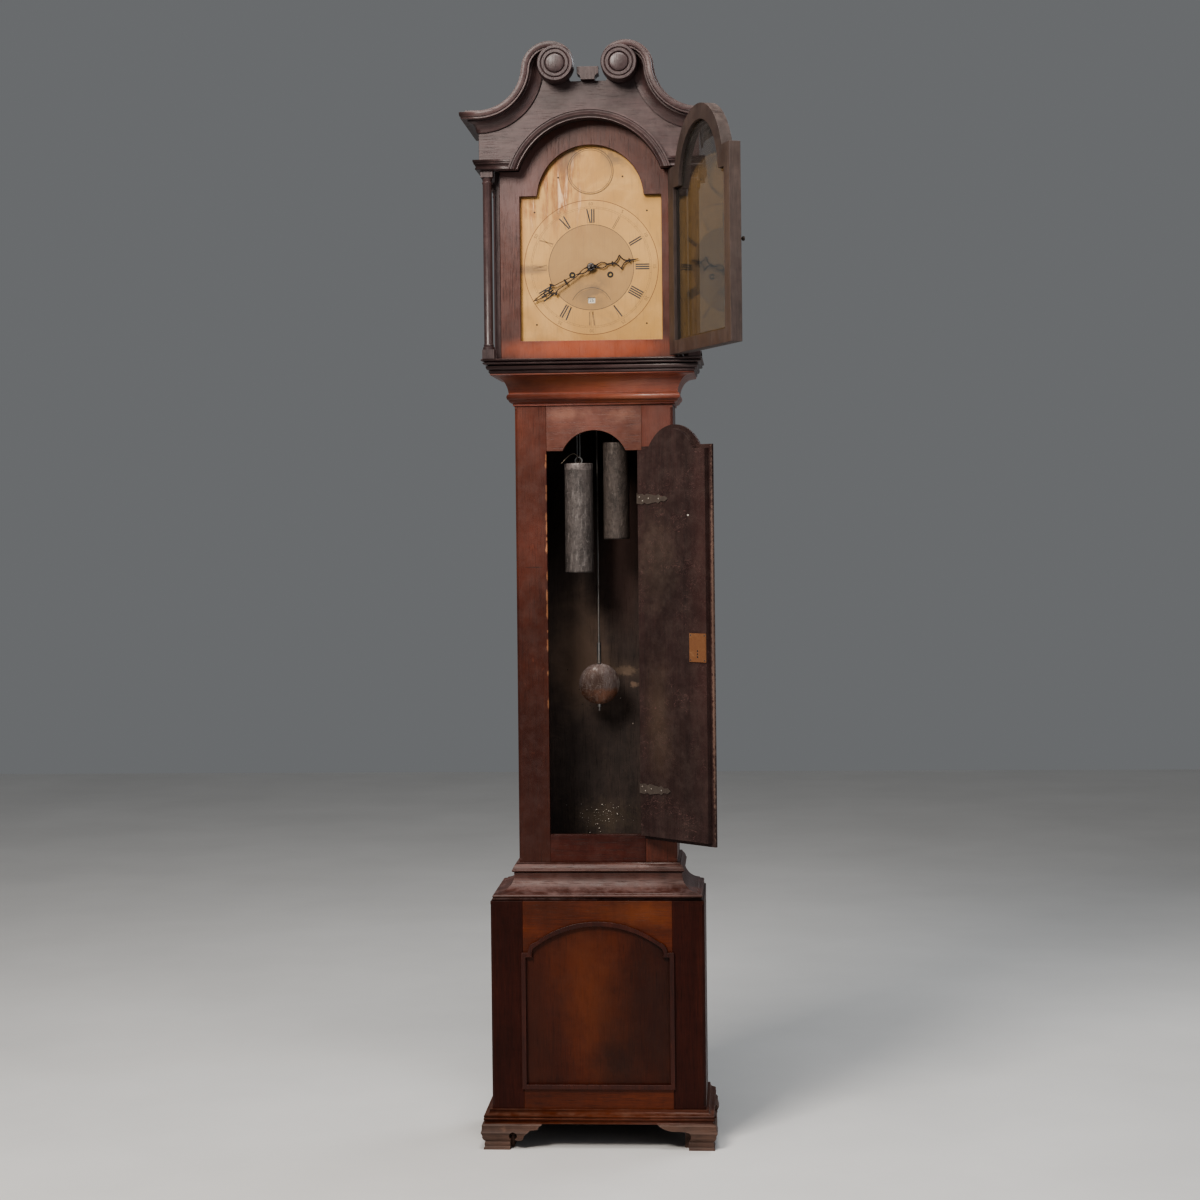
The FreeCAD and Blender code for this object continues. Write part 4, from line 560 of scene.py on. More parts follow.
@dataclass(frozen=True)
class DialBrass:
    """The one-piece dial: tarnished brass, stained orange at its upper left, greyer in the middle."""

    name: str
    centre: Point
    chapter_outer: float
    chapter_inner: float
    boss_up: float
    boss_radius: float
    base: Colour = (0.39, 0.215, 0.07)
    pale: Colour = (0.5, 0.3, 0.115)
    stain: Colour = (0.21, 0.068, 0.018)
    grey: Colour = (0.215, 0.14, 0.073)
    dark: Colour = (0.12, 0.085, 0.06)

    def _worn(self, g: Graph, colour: Shade, across: Shade, up: Shade) -> Shade:
        """Lays the stains and smudges over the brass.

        Args:
            g: The material's graph.
            colour: The colour so far.
            across: Distance to the right of the dial's centre.
            up: Distance above the dial's centre.

        Returns:
            The stained colour.
        """
        cloud = g.noise(g.place(), 17.0, 6.0, 0.64, 0.8)
        drips = g.noise(g.place((1, 1, 0.1)), 74.0, 5.0, 0.65, 0.5)
        corner = (across * -1.0 + 0.03).step(0.0, 0.1) * up.step(0.03, 0.15)
        stain = corner * (drips * 0.65 + cloud * 0.35).step(0.4, 0.6)
        colour = g.blend(stain * 0.95, colour, self.stain)
        colour = g.blend(corner * drips.step(0.55, 0.66) * 0.7, colour, (0.72, 0.5, 0.29))
        band = (1.0 - abs(up + 0.003).step(0.003, 0.014)) * (across * -1.0).step(0.075, 0.115)
        colour = g.blend(band * 0.62, colour, self.dark)
        edge = (across * -1.0).step(0.128, 0.15) * up.step(-0.08, 0.05)
        colour = g.blend(edge * 0.5, colour, self.stain)
        boss = (across * across + (up - self.boss_up) * (up - self.boss_up)) ** 0.5
        high = (1.0 - abs(boss - self.boss_radius * 1.2).step(0.0, 0.03)) * up.step(0.16, 0.24)
        colour = g.blend(high * cloud.step(0.42, 0.58) * 0.75, colour, self.dark)
        low = 1.0 - ((across * across + (up + 0.045) * (up + 0.045)) ** 0.5).step(0.01, 0.05)
        colour = g.blend(low * cloud.step(0.44, 0.6) * 0.55, colour, self.dark)
        return g.blend(cloud.step(0.56, 0.75) * 0.3, colour, self.grey)

    def material(self) -> bpy.types.Material:
        """Builds the finish.

        Returns:
            The material.
        """
        g = Graph(self.name)
        across = g.axis("X") - self.centre[0]
        up = g.axis("Z") - self.centre[2]
        reach = (across * across + up * up) ** 0.5
        cloud = g.noise(g.place(), 11.0, 6.0, 0.62, 0.8)
        fine = g.noise(g.place(), 340.0, 4.0, 0.7)
        wiped = g.noise(g.place((1, 1, 0.05)), 420.0, 4.0, 0.65)
        colour = g.blend(cloud.step(0.38, 0.7) * 0.7, self.base, self.pale)
        colour = g.blend(across.step(0.02, 0.15) * 0.3, colour, (0.56, 0.33, 0.105))
        inside = 1.0 - reach.step(self.chapter_inner - 0.001, self.chapter_inner + 0.001)
        ring = (1.0 - reach.step(self.chapter_outer - 0.001, self.chapter_outer + 0.001)) - inside
        colour = g.blend(ring * 0.3, colour, self.pale)
        colour = g.blend(inside * 0.5, colour, self.grey)
        colour = self._worn(g, colour, across, up)
        colour = g.blend(wiped.step(0.52, 0.72) * 0.35, colour, self.grey)
        speck = fine.step(0.64, 0.76)
        colour = g.blend(speck * 0.45, colour, (0.25, 0.14, 0.06))
        rough = 0.46 + (cloud - 0.5) * 0.3 + inside * 0.08 + speck * 0.1
        return g.finish({"Base Color": colour, "Roughness": rough, "Metallic": 0.25,
                         "Normal": g.bump(wiped * 0.5 + fine * 0.5 + cloud, 0.2, 0.0004)})


# Finishes of this clock.


def tones(dark: Colour, middle: Colour, light: Colour) -> dict[str, Colour]:
    """The three tones that a wood's figure runs through."""
    return {"dark": dark, "middle": middle, "light": light}


DEEP_RED = tones((0.026, 0.0075, 0.005), (0.066, 0.018, 0.0105), (0.125, 0.038, 0.02))
WARM_RED = tones((0.04, 0.0098, 0.0056), (0.1, 0.0265, 0.0145), (0.18, 0.055, 0.028))
PANEL_RED = tones((0.04, 0.0098, 0.005), (0.092, 0.026, 0.0115), (0.165, 0.052, 0.022))
RAIL_BROWN = tones((0.04, 0.0105, 0.0045), (0.1, 0.0285, 0.0095), (0.185, 0.058, 0.019))
DUSTY_BROWN = tones((0.022, 0.0115, 0.0115), (0.055, 0.0295, 0.029), (0.105, 0.062, 0.06))
FOOT_BROWN = tones((0.055, 0.031, 0.022), (0.13, 0.078, 0.055), (0.22, 0.145, 0.105))
INNER_BROWN = tones((0.012, 0.0075, 0.006), (0.03, 0.018, 0.014), (0.06, 0.036, 0.027))
DOOR_BACK = tones((0.018, 0.0105, 0.009), (0.04, 0.0245, 0.0205), (0.072, 0.047, 0.039))
DOOR_INNER = tones((0.024, 0.0155, 0.0135), (0.052, 0.034, 0.029), (0.095, 0.065, 0.054))
# The orange of the painted highlights on the throat moulding.
HIGHLIGHT_ORANGE = (0.3, 0.095, 0.036)
PINK_DUST = (0.27, 0.125, 0.085)
SOOT = (0.014, 0.0065, 0.005)
BARE_WOOD = (0.55, 0.25, 0.12)


def wood(name: str, grain: Grain, shades: dict[str, Colour], **more: object) -> Wood:
    """A wood finish from a set of tones."""
    return Wood(name=name, grain=grain, **shades, **more)


def deeper(shades: dict[str, Colour], red: float, green: float, blue: float) -> dict[str, Colour]:
    """A set of tones with each channel scaled."""
    return {name: (tone[0] * red, tone[1] * green, tone[2] * blue) for name, tone in shades.items()}


def chips(x: float, low: float, high: float, count: int, seed: int) -> tuple[Mark, ...]:
    """Small bright chips along an upright edge.

    Args:
        x: Where the edge is.
        low: Height of the lowest chip.
        high: Height of the highest chip.
        count: How many chips there are.
        seed: Seed of their places and sizes.

    Returns:
        The chips as marks.
    """
    draw = random.Random(seed)
    spots = [(draw.uniform(low, high), draw.uniform(0.003, 0.013)) for _ in range(count)]
    return tuple(Mark(x + draw.uniform(-0.0005, 0.0015), z, half_wide=0.0024, half_high=long, tone=BARE_WOOD,
                      strength=0.9, ragged=0.7, scale=260.0, soft=0.4) for z, long in spots)


BASE_PANEL_MARKS = (
    Mark(-0.035, 0.36, 0.07, 0.13, (0.13, 0.032, 0.009), 0.45, 0.6, 30.0, 0.95),
    Mark(0.005, 0.27, 0.06, 0.13, (0.13, 0.033, 0.0095), 0.5, 0.6, 34.0, 0.95),
    Mark(0.13, 0.3, 0.08, 0.22, SOOT, 0.55, 0.5, 26.0, 0.95),
    Mark(0.04, 0.175, 0.045, 0.065, SOOT, 0.65, 0.6, 30.0, 0.95),
    Mark(-0.13, 0.26, 0.07, 0.2, (0.035, 0.009, 0.005), 0.6, 0.5, 18.0, 0.95))
BASE_RAIL_MARKS = (
    Mark(0.09, 0.483, 0.09, 0.03, (0.2, 0.062, 0.02), 0.35, 0.8, 34.0, 0.95),
    Mark(-0.09, 0.49, 0.09, 0.03, SOOT, 0.4, 0.6, 30.0, 0.95))
STILE_MARKS = chips(-0.1005, 0.9, 1.42, 22, 3) + (
    Mark(-0.125, 1.19, 0.018, 0.0012, SOOT, 0.9, 0.6, 90.0, 0.4),
    Mark(-0.13, 0.72, 0.1, 0.42, (0.024, 0.0055, 0.0035), 0.85, 0.25, 12.0, 0.98),
    Mark(-0.13, 1.35, 0.04, 0.2, (0.15, 0.05, 0.034), 0.5, 0.5, 16.0, 0.95),
    Mark(0.14, 1.47, 0.05, 0.12, (0.2, 0.085, 0.068), 0.6, 0.4, 16.0, 0.95))
TOP_RAIL_MARKS = (
    Mark(0.0, 1.5, 0.13, 0.05, (0.2, 0.08, 0.06), 0.5, 0.5, 20.0, 0.95),
    Mark(-0.06, 1.507, 0.04, 0.012, PINK_DUST, 0.5, 1.0, 60.0),
    Mark(0.06, 1.505, 0.038, 0.012, PINK_DUST, 0.5, 1.0, 66.0))
BACKBOARD_MARKS_AND_LIGHT_PATCH = (
    Mark(0.052, 0.964, 0.026, 0.01, (0.24, 0.165, 0.11), 0.85, 0.9, 130.0, 0.5),
    Mark(0.07, 0.934, 0.01, 0.006, (0.2, 0.13, 0.09), 0.7, 0.8, 150.0, 0.5),
    Mark(0.035, 0.966, 0.07, 0.022, (0.07, 0.045, 0.032), 0.6, 0.8, 50.0, 0.95),
    # Painted light: a paler patch on the backboard's left, lifting the shade there.
    Mark(-0.05, 1.0, 0.06, 0.13, (0.17, 0.11, 0.078), 0.75, 0.6, 22.0, 0.95),
    Mark(0.05, 1.25, 0.04, 0.2, (0.07, 0.03, 0.024), 0.6, 0.5, 16.0, 0.95),
    Mark(0.0, 0.65, 0.06, 0.035, (0.09, 0.065, 0.04), 0.5, 0.9, 90.0, 0.9))
MASK_MARKS_AND_LIT_RAIL = (
    Mark(-0.155, 1.99, 0.05, 0.1, (0.15, 0.088, 0.085), 0.6, 0.5, 30.0, 0.95),
    # Painted highlight: the lit orange rail under the dial.
    Mark(0.0, 1.64, 0.19, 0.026, (0.32, 0.072, 0.026), 0.85, 0.2, 30.0, 0.6),
    Mark(0.17, 1.8, 0.02, 0.2, (0.13, 0.03, 0.016), 0.5, 0.3, 20.0))
# Painted highlights along the throat moulding's cavetto: a paler band and orange streaks.
THROAT_PAINTED_HIGHLIGHTS = (
    Mark(0.0, 1.56, 0.2, 0.03, (0.3, 0.1, 0.062), 0.55, 0.5, 30.0, 0.95),
    Mark(-0.03, 1.575, 0.13, 0.014, HIGHLIGHT_ORANGE, 0.6, 0.8, 50.0, 0.9),
    Mark(0.07, 1.535, 0.07, 0.009, HIGHLIGHT_ORANGE, 0.5, 0.8, 60.0, 0.9))
DOOR_BACK_MARKS = (
    Mark(0.23, 1.1, 0.03, 0.35, (0.065, 0.026, 0.022), 0.5, 0.4, 18.0, 0.95),
    Mark(0.17, 0.8, 0.05, 0.14, SOOT, 0.5, 0.5, 20.0, 0.95),
    Mark(0.13, 0.88, 0.025, 0.12, (0.09, 0.06, 0.04), 0.45, 0.6, 24.0, 0.95),
    Mark(0.245, 1.05, 0.0035, 0.38, (0.24, 0.155, 0.12), 0.6, 0.9, 150.0, 0.5),
    Mark(0.196, 1.295, 0.0022, 0.0022, (0.6, 0.55, 0.48), 0.9, 0.2, 90.0, 0.3),
    Mark(0.13, 1.2, 0.04, 0.09, (0.085, 0.058, 0.045), 0.6, 0.8, 60.0, 0.95))

WOODS = {
    # The base's tones are scaled down, most in green and blue: painted shade for the light falling off
    # towards the floor.
    "base_panel": wood("base_panel_wood", Grain.UP, deeper(PANEL_RED, 0.6, 0.39, 0.28), specular=0.22,
        grime=0.45, roughness=0.4, coat=0.04, wear=0.25, dust_share=0.08, figure=0.5,
        marks=BASE_PANEL_MARKS),
    "base_stiles": wood("base_stile_wood", Grain.UP, deeper(DEEP_RED, 0.52, 0.4, 0.42), grime=0.45,
        seed=2.1, dust_share=0.03, specular=0.16, coat=0.0),
    "base_rails": wood("base_rail_wood", Grain.ACROSS, deeper(RAIL_BROWN, 0.8, 0.55, 0.42), grime=0.6,
        seed=3.3, wear=0.6, dust_share=0.07, specular=0.25, coat=0.03, figure=0.8,
        marks=BASE_RAIL_MARKS),
    "base_panel_moulding": wood("panel_bead_wood", Grain.UP, deeper(DEEP_RED, 0.66, 0.45, 0.38), seed=1.2,
        wear=0.6, dust_share=0.06, roughness=0.36, coat=0.1, specular=0.3),
    "base_sides": wood("base_side_wood", Grain.UP, deeper(DEEP_RED, 0.6, 0.42, 0.4), seed=5.1,
        specular=0.25),
    "base_boards": wood("base_board_wood", Grain.ACROSS, INNER_BROWN, seed=5.7, roughness=0.8, coat=0.0),
    "plinth_moulding": wood("plinth_wood", Grain.ACROSS, deeper(RAIL_BROWN, 0.75, 0.62, 0.7), seed=6.2,
        wear=0.8, dust_share=0.4, dust=(0.2, 0.12, 0.085), specular=0.25, coat=0.03),
    "foot_front_left": wood("foot_wood_left", Grain.ACROSS, deeper(FOOT_BROWN, 0.74, 0.6, 0.56), seed=7.4,
        wear=0.9, dust_share=0.45, roughness=0.6, coat=0.0, grime=0.7),
    "foot_front_right": wood("foot_wood_right", Grain.ACROSS, deeper(FOOT_BROWN, 0.74, 0.6, 0.56), seed=8.3,
        wear=0.9, dust_share=0.45, roughness=0.6, coat=0.0, grime=0.7),
    "rear_feet": wood("rear_foot_wood", Grain.ACROSS, deeper(FOOT_BROWN, 0.74, 0.6, 0.56), seed=9.9,
        roughness=0.65, coat=0.0),
    "waist_moulding": wood("waist_wood", Grain.ACROSS, DEEP_RED, seed=10.4, wear=0.7, dust_share=0.55,
        dust=(0.23, 0.15, 0.14), roughness=0.48, coat=0.05),
    "trunk_stiles": wood("trunk_stile_wood", Grain.UP, deeper(WARM_RED, 1.0, 0.92, 0.88), seed=11.8,
        specular=0.32, coat=0.05, grime=0.55, wear=0.5, marks=STILE_MARKS),
    "trunk_top_rail": wood("trunk_rail_wood", Grain.ACROSS, WARM_RED, seed=12.6, wear=0.7, grime=0.5,
        dust_share=0.4, dust=(0.28, 0.16, 0.12), marks=TOP_RAIL_MARKS),
    "trunk_bottom_rail": wood("trunk_low_rail_wood", Grain.ACROSS, deeper(DEEP_RED, 0.72, 0.5, 0.5),
        seed=13.1, grime=0.5, specular=0.25, coat=0.04),
    "trunk_sides": wood("trunk_side_wood", Grain.UP, DEEP_RED, seed=14.9),
    "trunk_door": wood("door_back_wood", Grain.UP, deeper(DOOR_BACK, 0.75, 0.6, 0.66), seed=15.5,
        specular=0.3, outer=WARM_RED, grime=0.5, roughness=0.62, coat=0.0, wear=0.6, dust_share=0.45,
        dust=(0.17, 0.125, 0.105), scuffs=1.0, marks=DOOR_BACK_MARKS),
    "throat_moulding": wood("throat_wood", Grain.ACROSS, deeper(WARM_RED, 1.5, 1.35, 1.4), seed=16.7,
        wear=0.6, dust_share=0.4, roughness=0.36, coat=0.2, marks=THROAT_PAINTED_HIGHLIGHTS),
    "hood_base_frame": wood("hood_base_wood", Grain.ACROSS, DUSTY_BROWN, seed=17.3, wear=0.6,
        dust_share=0.4),
    "mask_frame": wood("mask_wood", Grain.UP, DEEP_RED, seed=18.2, grime=0.4, dust=(0.16, 0.1, 0.095),
        dust_share=0.45, wear=0.5, marks=MASK_MARKS_AND_LIT_RAIL),
    "swan_necks": wood("swan_neck_wood", Grain.ACROSS, DUSTY_BROWN, seed=19.5, wear=0.8, dust_share=0.4),
    "rosettes": wood("rosette_wood", Grain.UP, deeper(DUSTY_BROWN, 0.75, 0.75, 0.8), seed=20.6, wear=0.8,
        dust_share=0.45),
    "tympanum": wood("tympanum_wood", Grain.ACROSS, DUSTY_BROWN, seed=21.1, grime=0.55, dust_share=0.5,
        wear=0.5),
    "arch_moulding": wood("arch_wood", Grain.ACROSS, DUSTY_BROWN, seed=22.5, wear=0.7, dust_share=0.35),
    "finial_block": wood("finial_block_wood", Grain.UP, DUSTY_BROWN, seed=23.7, dust_share=0.3, grime=0.8),
    "hood_sides": wood("hood_side_wood", Grain.UP, DUSTY_BROWN, seed=24.2),
    "hood_roof": wood("roof_wood", Grain.DEEP, INNER_BROWN, seed=25.9, roughness=0.85, coat=0.0,
        dust_share=0.6),
    "columns": wood("column_wood", Grain.UP, DUSTY_BROWN, seed=26.6, wear=0.6, dust_share=0.3,
        dust=(0.17, 0.11, 0.1)),
    "hood_door_frame": wood("hood_door_wood", Grain.UP, DOOR_INNER, seed=27.3, grime=0.55, dust_share=0.4,
        roughness=0.55, coat=0.05, wear=0.6),
    "backboard": wood("backboard_wood", Grain.UP, INNER_BROWN, seed=28.4, roughness=0.8, coat=0.0, wear=0.7,
        dust_share=0.45, grime=0.5, scuffs=0.3, marks=BACKBOARD_MARKS_AND_LIGHT_PATCH),
    "seatboard": wood("seatboard_wood", Grain.ACROSS, INNER_BROWN, seed=29.2, roughness=0.8, coat=0.0),
}
METALS = {
    "fitting_brass": Metal("lock_copper", base=(0.36, 0.17, 0.085), stain=(0.17, 0.08, 0.045),
        bright=(0.62, 0.36, 0.2), metallic=0.75, roughness=0.45, stain_share=0.6, stain_scale=30.0,
        seed=1.0),
    "strap_iron": Metal("strap_metal", base=(0.096, 0.076, 0.064), stain=(0.045, 0.031, 0.025),
        bright=(0.2, 0.165, 0.135), metallic=0.5, roughness=0.6, stain_share=0.6, stain_scale=40.0,
        grit=0.5, grit_scale=500.0, pitted=0.3, seed=2.0),
    "movement_brass": Metal("movement_brass", base=(0.56, 0.38, 0.15), stain=(0.24, 0.14, 0.06),
        bright=(0.75, 0.57, 0.3), metallic=1.0, roughness=0.32, stain_share=0.45, stain_scale=24.0,
        seed=3.0),
    "steel": Metal("dull_steel", base=(0.26, 0.25, 0.24), stain=(0.1, 0.06, 0.04),
        bright=(0.46, 0.45, 0.44), metallic=1.0, roughness=0.4, stain_share=0.5, stain_scale=34.0,
        seed=4.0),
    "blued_steel": Metal("dark_hand_steel", base=(0.024, 0.02, 0.019), stain=(0.045, 0.028, 0.02),
        bright=(0.08, 0.066, 0.055), metallic=0.7, roughness=0.38, stain_share=0.5, stain_scale=60.0,
        seed=5.0),
    "lead": Metal("rough_lead", base=(0.21, 0.215, 0.215), stain=(0.12, 0.115, 0.11),
        bright=(0.4, 0.4, 0.39), metallic=0.35, roughness=0.66, stain_share=0.6, stain_scale=26.0, grit=0.9,
        grit_scale=260.0, pitted=0.7, seed=6.0),
    # The bob's grey upper half and red-brown lower half are painted shading of its dome.
    "bob_lead": CastMetal("bob_metal", upper=(0.096, 0.073, 0.068), lower=(0.13, 0.06, 0.038),
        bright=(0.22, 0.19, 0.175), split=0.93, soft=0.004, metallic=0.4, roughness=0.5, seed=7.0),
    "left_lead": CastMetal("rough_lead_left", upper=(0.18, 0.152, 0.144), lower=(0.095, 0.08, 0.075),
        bright=(0.31, 0.28, 0.265), split=1.392, soft=0.001, seed=6.0),
    # The right weight's tones are darker than the left's: painted shade, as it hangs further back in shadow.
    "right_lead": CastMetal("rough_lead_right", upper=(0.078, 0.061, 0.054), lower=(0.068, 0.053, 0.046),
        bright=(0.19, 0.16, 0.14), split=1.44, soft=0.001, seed=16.0),
    "dial_brass": DialBrass("dial_brass_worn", centre=DIAL_CENTRE, chapter_outer=CHAPTER_OUTER,
        chapter_inner=CHAPTER_INNER, boss_up=BOSS_UP, boss_radius=0.046),
    "bell_metal": Metal("bell_metal", base=(0.5, 0.4, 0.24), stain=(0.22, 0.15, 0.08),
        bright=(0.7, 0.6, 0.42), metallic=1.0, roughness=0.28, stain_share=0.4, stain_scale=15.0, seed=8.0),
    "gut": Metal("weight_line", base=(0.3, 0.25, 0.19), stain=(0.14, 0.11, 0.08), bright=(0.45, 0.4, 0.33),
        metallic=0.1, roughness=0.75, stain_share=0.5, stain_scale=60.0, grit=0.8, grit_scale=900.0,
        seed=9.0),
    "silvered": Metal("silvered_ring", base=(0.55, 0.52, 0.46), stain=(0.36, 0.31, 0.24),
        bright=(0.66, 0.64, 0.58), metallic=0.1, roughness=0.55, stain_share=0.4, stain_scale=40.0,
        seed=10.0),
    "wax": Metal("engraving_wax", base=(0.03, 0.03, 0.033), stain=(0.055, 0.05, 0.046),
        bright=(0.13, 0.11, 0.085), metallic=0.0, roughness=0.6, stain_share=0.5, stain_scale=70.0,
        grit=0.6, grit_scale=600.0, seed=11.0),
    "faint_wax": Metal("worn_engraving", base=(0.16, 0.095, 0.048), stain=(0.3, 0.19, 0.085),
        bright=(0.4, 0.25, 0.11), metallic=0.2, roughness=0.55, stain_share=0.9, stain_scale=70.0,
        seed=12.0),
    "red_wax": Metal("reddish_circle", base=(0.1, 0.042, 0.022), stain=(0.18, 0.09, 0.042),
        bright=(0.25, 0.14, 0.06), metallic=0.1, roughness=0.55, stain_share=0.7, stain_scale=60.0,
        seed=14.0),
    "black": Metal("blackened_ring", base=(0.012, 0.011, 0.01), stain=(0.03, 0.02, 0.014),
        bright=(0.06, 0.05, 0.04), metallic=0.2, roughness=0.6, stain_share=0.5, stain_scale=80.0,
        seed=15.0),
    "nail": Metal("nail_head", base=(0.34, 0.31, 0.28), stain=(0.14, 0.08, 0.05), bright=(0.6, 0.58, 0.55),
        metallic=0.8, roughness=0.45, stain_share=0.5, stain_scale=80.0, seed=13.0),
}


# Meshes.


def linked(name: str, data: bpy.types.ID) -> bpy.types.Object:
    """Puts a mesh, curve, lamp or camera in the scene as an object at the origin.

    Args:
        name: The object's name.
        data: The mesh, curve, lamp or camera.

    Returns:
        The object.
    """
    made = bpy.data.objects.new(name, data)
    bpy.context.scene.collection.objects.link(made)
    return made


def ring_faces(rows: int, sides: int) -> list[tuple[int, ...]]:
    """Four-cornered faces between rings of points that follow one another.

    Args:
        rows: How many steps there are from the first ring to the last.
        sides: Points in each ring.

    Returns:
        The faces, by point number.
    """
    faces = []
    for row in range(rows):
        for side in range(sides):
            after = (side + 1) % sides
            low, high = row * sides, (row + 1) * sides
            faces.append((low + side, low + after, high + after, high + side))
    return faces


def mesh_piece(name: str, corners: Sequence[Sequence[float]], faces: Sequence[Sequence[int]],
               finish: bpy.types.Material) -> bpy.types.Object:
    """Makes one mesh piece at the origin, its normals pointing outwards.

    Args:
        name: The piece's name.
        corners: Its points, in metres.
        faces: Its faces, by point number.
        finish: Its material.

    Returns:
        The new object.
    """
    mesh = bpy.data.meshes.new(name)
    mesh.from_pydata([tuple(c) for c in corners], [], [tuple(f) for f in faces])
    mesh.update()
    made = bmesh.new()
    made.from_mesh(mesh)
    bmesh.ops.remove_doubles(made, verts=made.verts, dist=1e-6)
    bmesh.ops.recalc_face_normals(made, faces=made.faces)
    made.to_mesh(mesh)
    made.free()
    mesh.materials.append(finish)
    return linked(name, mesh)


def joined(name: str, parts: Sequence[bpy.types.Object]) -> bpy.types.Object:
    """Joins mesh objects that share one finish into one piece.

    Args:
        name: The new piece's name.
        parts: The objects, which are removed.

    Returns:
        The new piece.
    """
    gathered = bmesh.new()
    for part in parts:
        gathered.from_mesh(part.data)
    mesh = bpy.data.meshes.new(name)
    gathered.to_mesh(mesh)
    gathered.free()
    mesh.materials.append(parts[0].data.materials[0])
    piece = linked(name, mesh)
    for part in parts:
        bpy.data.objects.remove(part)
    return piece


def flattened(piece: bpy.types.Object) -> bpy.types.Object:
    """Turns a piece with modifiers, or a curve or text, into a plain mesh of the same name.

    Args:
        piece: The piece, which is removed.

    Returns:
        The plain piece.
    """
    bpy.context.view_layer.update()
    shown = piece.evaluated_get(bpy.context.evaluated_depsgraph_get())
    mesh = bpy.data.meshes.new_from_object(shown)
    mesh.transform(piece.matrix_world)
    name = piece.name
    finishes = [slot.material for slot in piece.material_slots]
    bpy.data.objects.remove(piece)
    mesh.name = name
    if not mesh.materials:
        for finish in finishes:
            mesh.materials.append(finish)
    return linked(name, mesh)


def rounded(piece: bpy.types.Object, width: float) -> bpy.types.Object:
    """Softens a piece's sharp edges and shades its curves smoothly.

    Args:
        piece: The piece, which is replaced.
        width: The width of the softened edges.

    Returns:
        The new piece.
    """
    piece.data.shade_smooth()
    bevel = piece.modifiers.new("edge", "BEVEL")
    bevel.width = width
    bevel.segments = 2
    bevel.limit_method = "ANGLE"
    bevel.angle_limit = SHARP
    bevel.harden_normals = True
    bevel.use_clamp_overlap = True
    return flattened(piece)


def merged_copy(node: str, finish: bpy.types.Material, flat: float = 0.0) -> bpy.types.Mesh:
    """A copy of a CAD node's mesh with its loose triangles joined.

    Args:
        node: The CAD node.
        finish: The copy's material.
        flat: The angle, in degrees, under which neighbouring faces become one, or 0 to keep them.

    Returns:
        The mesh.
    """
    mesh = FRAME["nodes"][node].data.copy()
    mesh.materials.clear()
    mesh.materials.append(finish)
    made = bmesh.new()
    made.from_mesh(mesh)
    bmesh.ops.remove_doubles(made, verts=made.verts, dist=TOUCHING)
    if flat:
        bmesh.ops.dissolve_limit(made, angle_limit=math.radians(flat), verts=made.verts, edges=made.edges)
    made.to_mesh(mesh)
    made.free()
    return mesh


def refined(node: str, finish: bpy.types.Material, body: str, width: float
            ) -> bpy.types.Object:
    """Replaces a CAD node by a merged copy with softened edges.

    Args:
        node: The CAD node.
        finish: The copy's material.
        body: The body that it rides on.
        width: The width of the softened edges.

    Returns:
        The new piece.
    """
    mesh = merged_copy(node, finish, flat=0.6)
    for attribute in [a.name for a in mesh.attributes if a.name.startswith("custom_normal")]:
        mesh.attributes.remove(mesh.attributes[attribute])
    piece = attach(rounded(linked(node + "_piece", mesh), width), body)
    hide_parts(node)
    return piece


def attach(piece: bpy.types.Object, body: str) -> bpy.types.Object:
    """Rides a piece on a body.

    Args:
        piece: The piece.
        body: The body that carries it.

    Returns:
        The same piece.
    """
    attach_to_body(piece, body)
    return piece


def turned_profile(profile: Outline, centre: Point, sides: int
                   ) -> tuple[list[Point], list[tuple[int, ...]]]:
    """Points and faces of a shape turned round a front-to-back line.

    Args:
        profile: (radius, along) pairs; a radius of 0 closes an end.
        centre: Where along = 0 lies.
        sides: Points round the shape.

    Returns:
        The points and the faces.
    """
    points = []
    for radius, along in profile:
        for side in range(sides):
            angle = 2 * math.pi * side / sides
            offset = (radius * math.cos(angle), along, radius * math.sin(angle))
            points.append(tuple(c + o for c, o in zip(centre, offset)))
    return points, ring_faces(len(profile) - 1, sides)


def all_finishes() -> dict[str, bpy.types.Material]:
    """Builds every finish once.

    Returns:
        The materials, by wooden node or by short name.
    """
    made = {node: finish.material() for node, finish in WOODS.items()}
    made.update({slot: finish.material() for slot, finish in METALS.items()})
    made["glass"] = Glass("old_glass", (0.02, 0.02, 0.017)).material()
    return made


# Geometry Nodes.


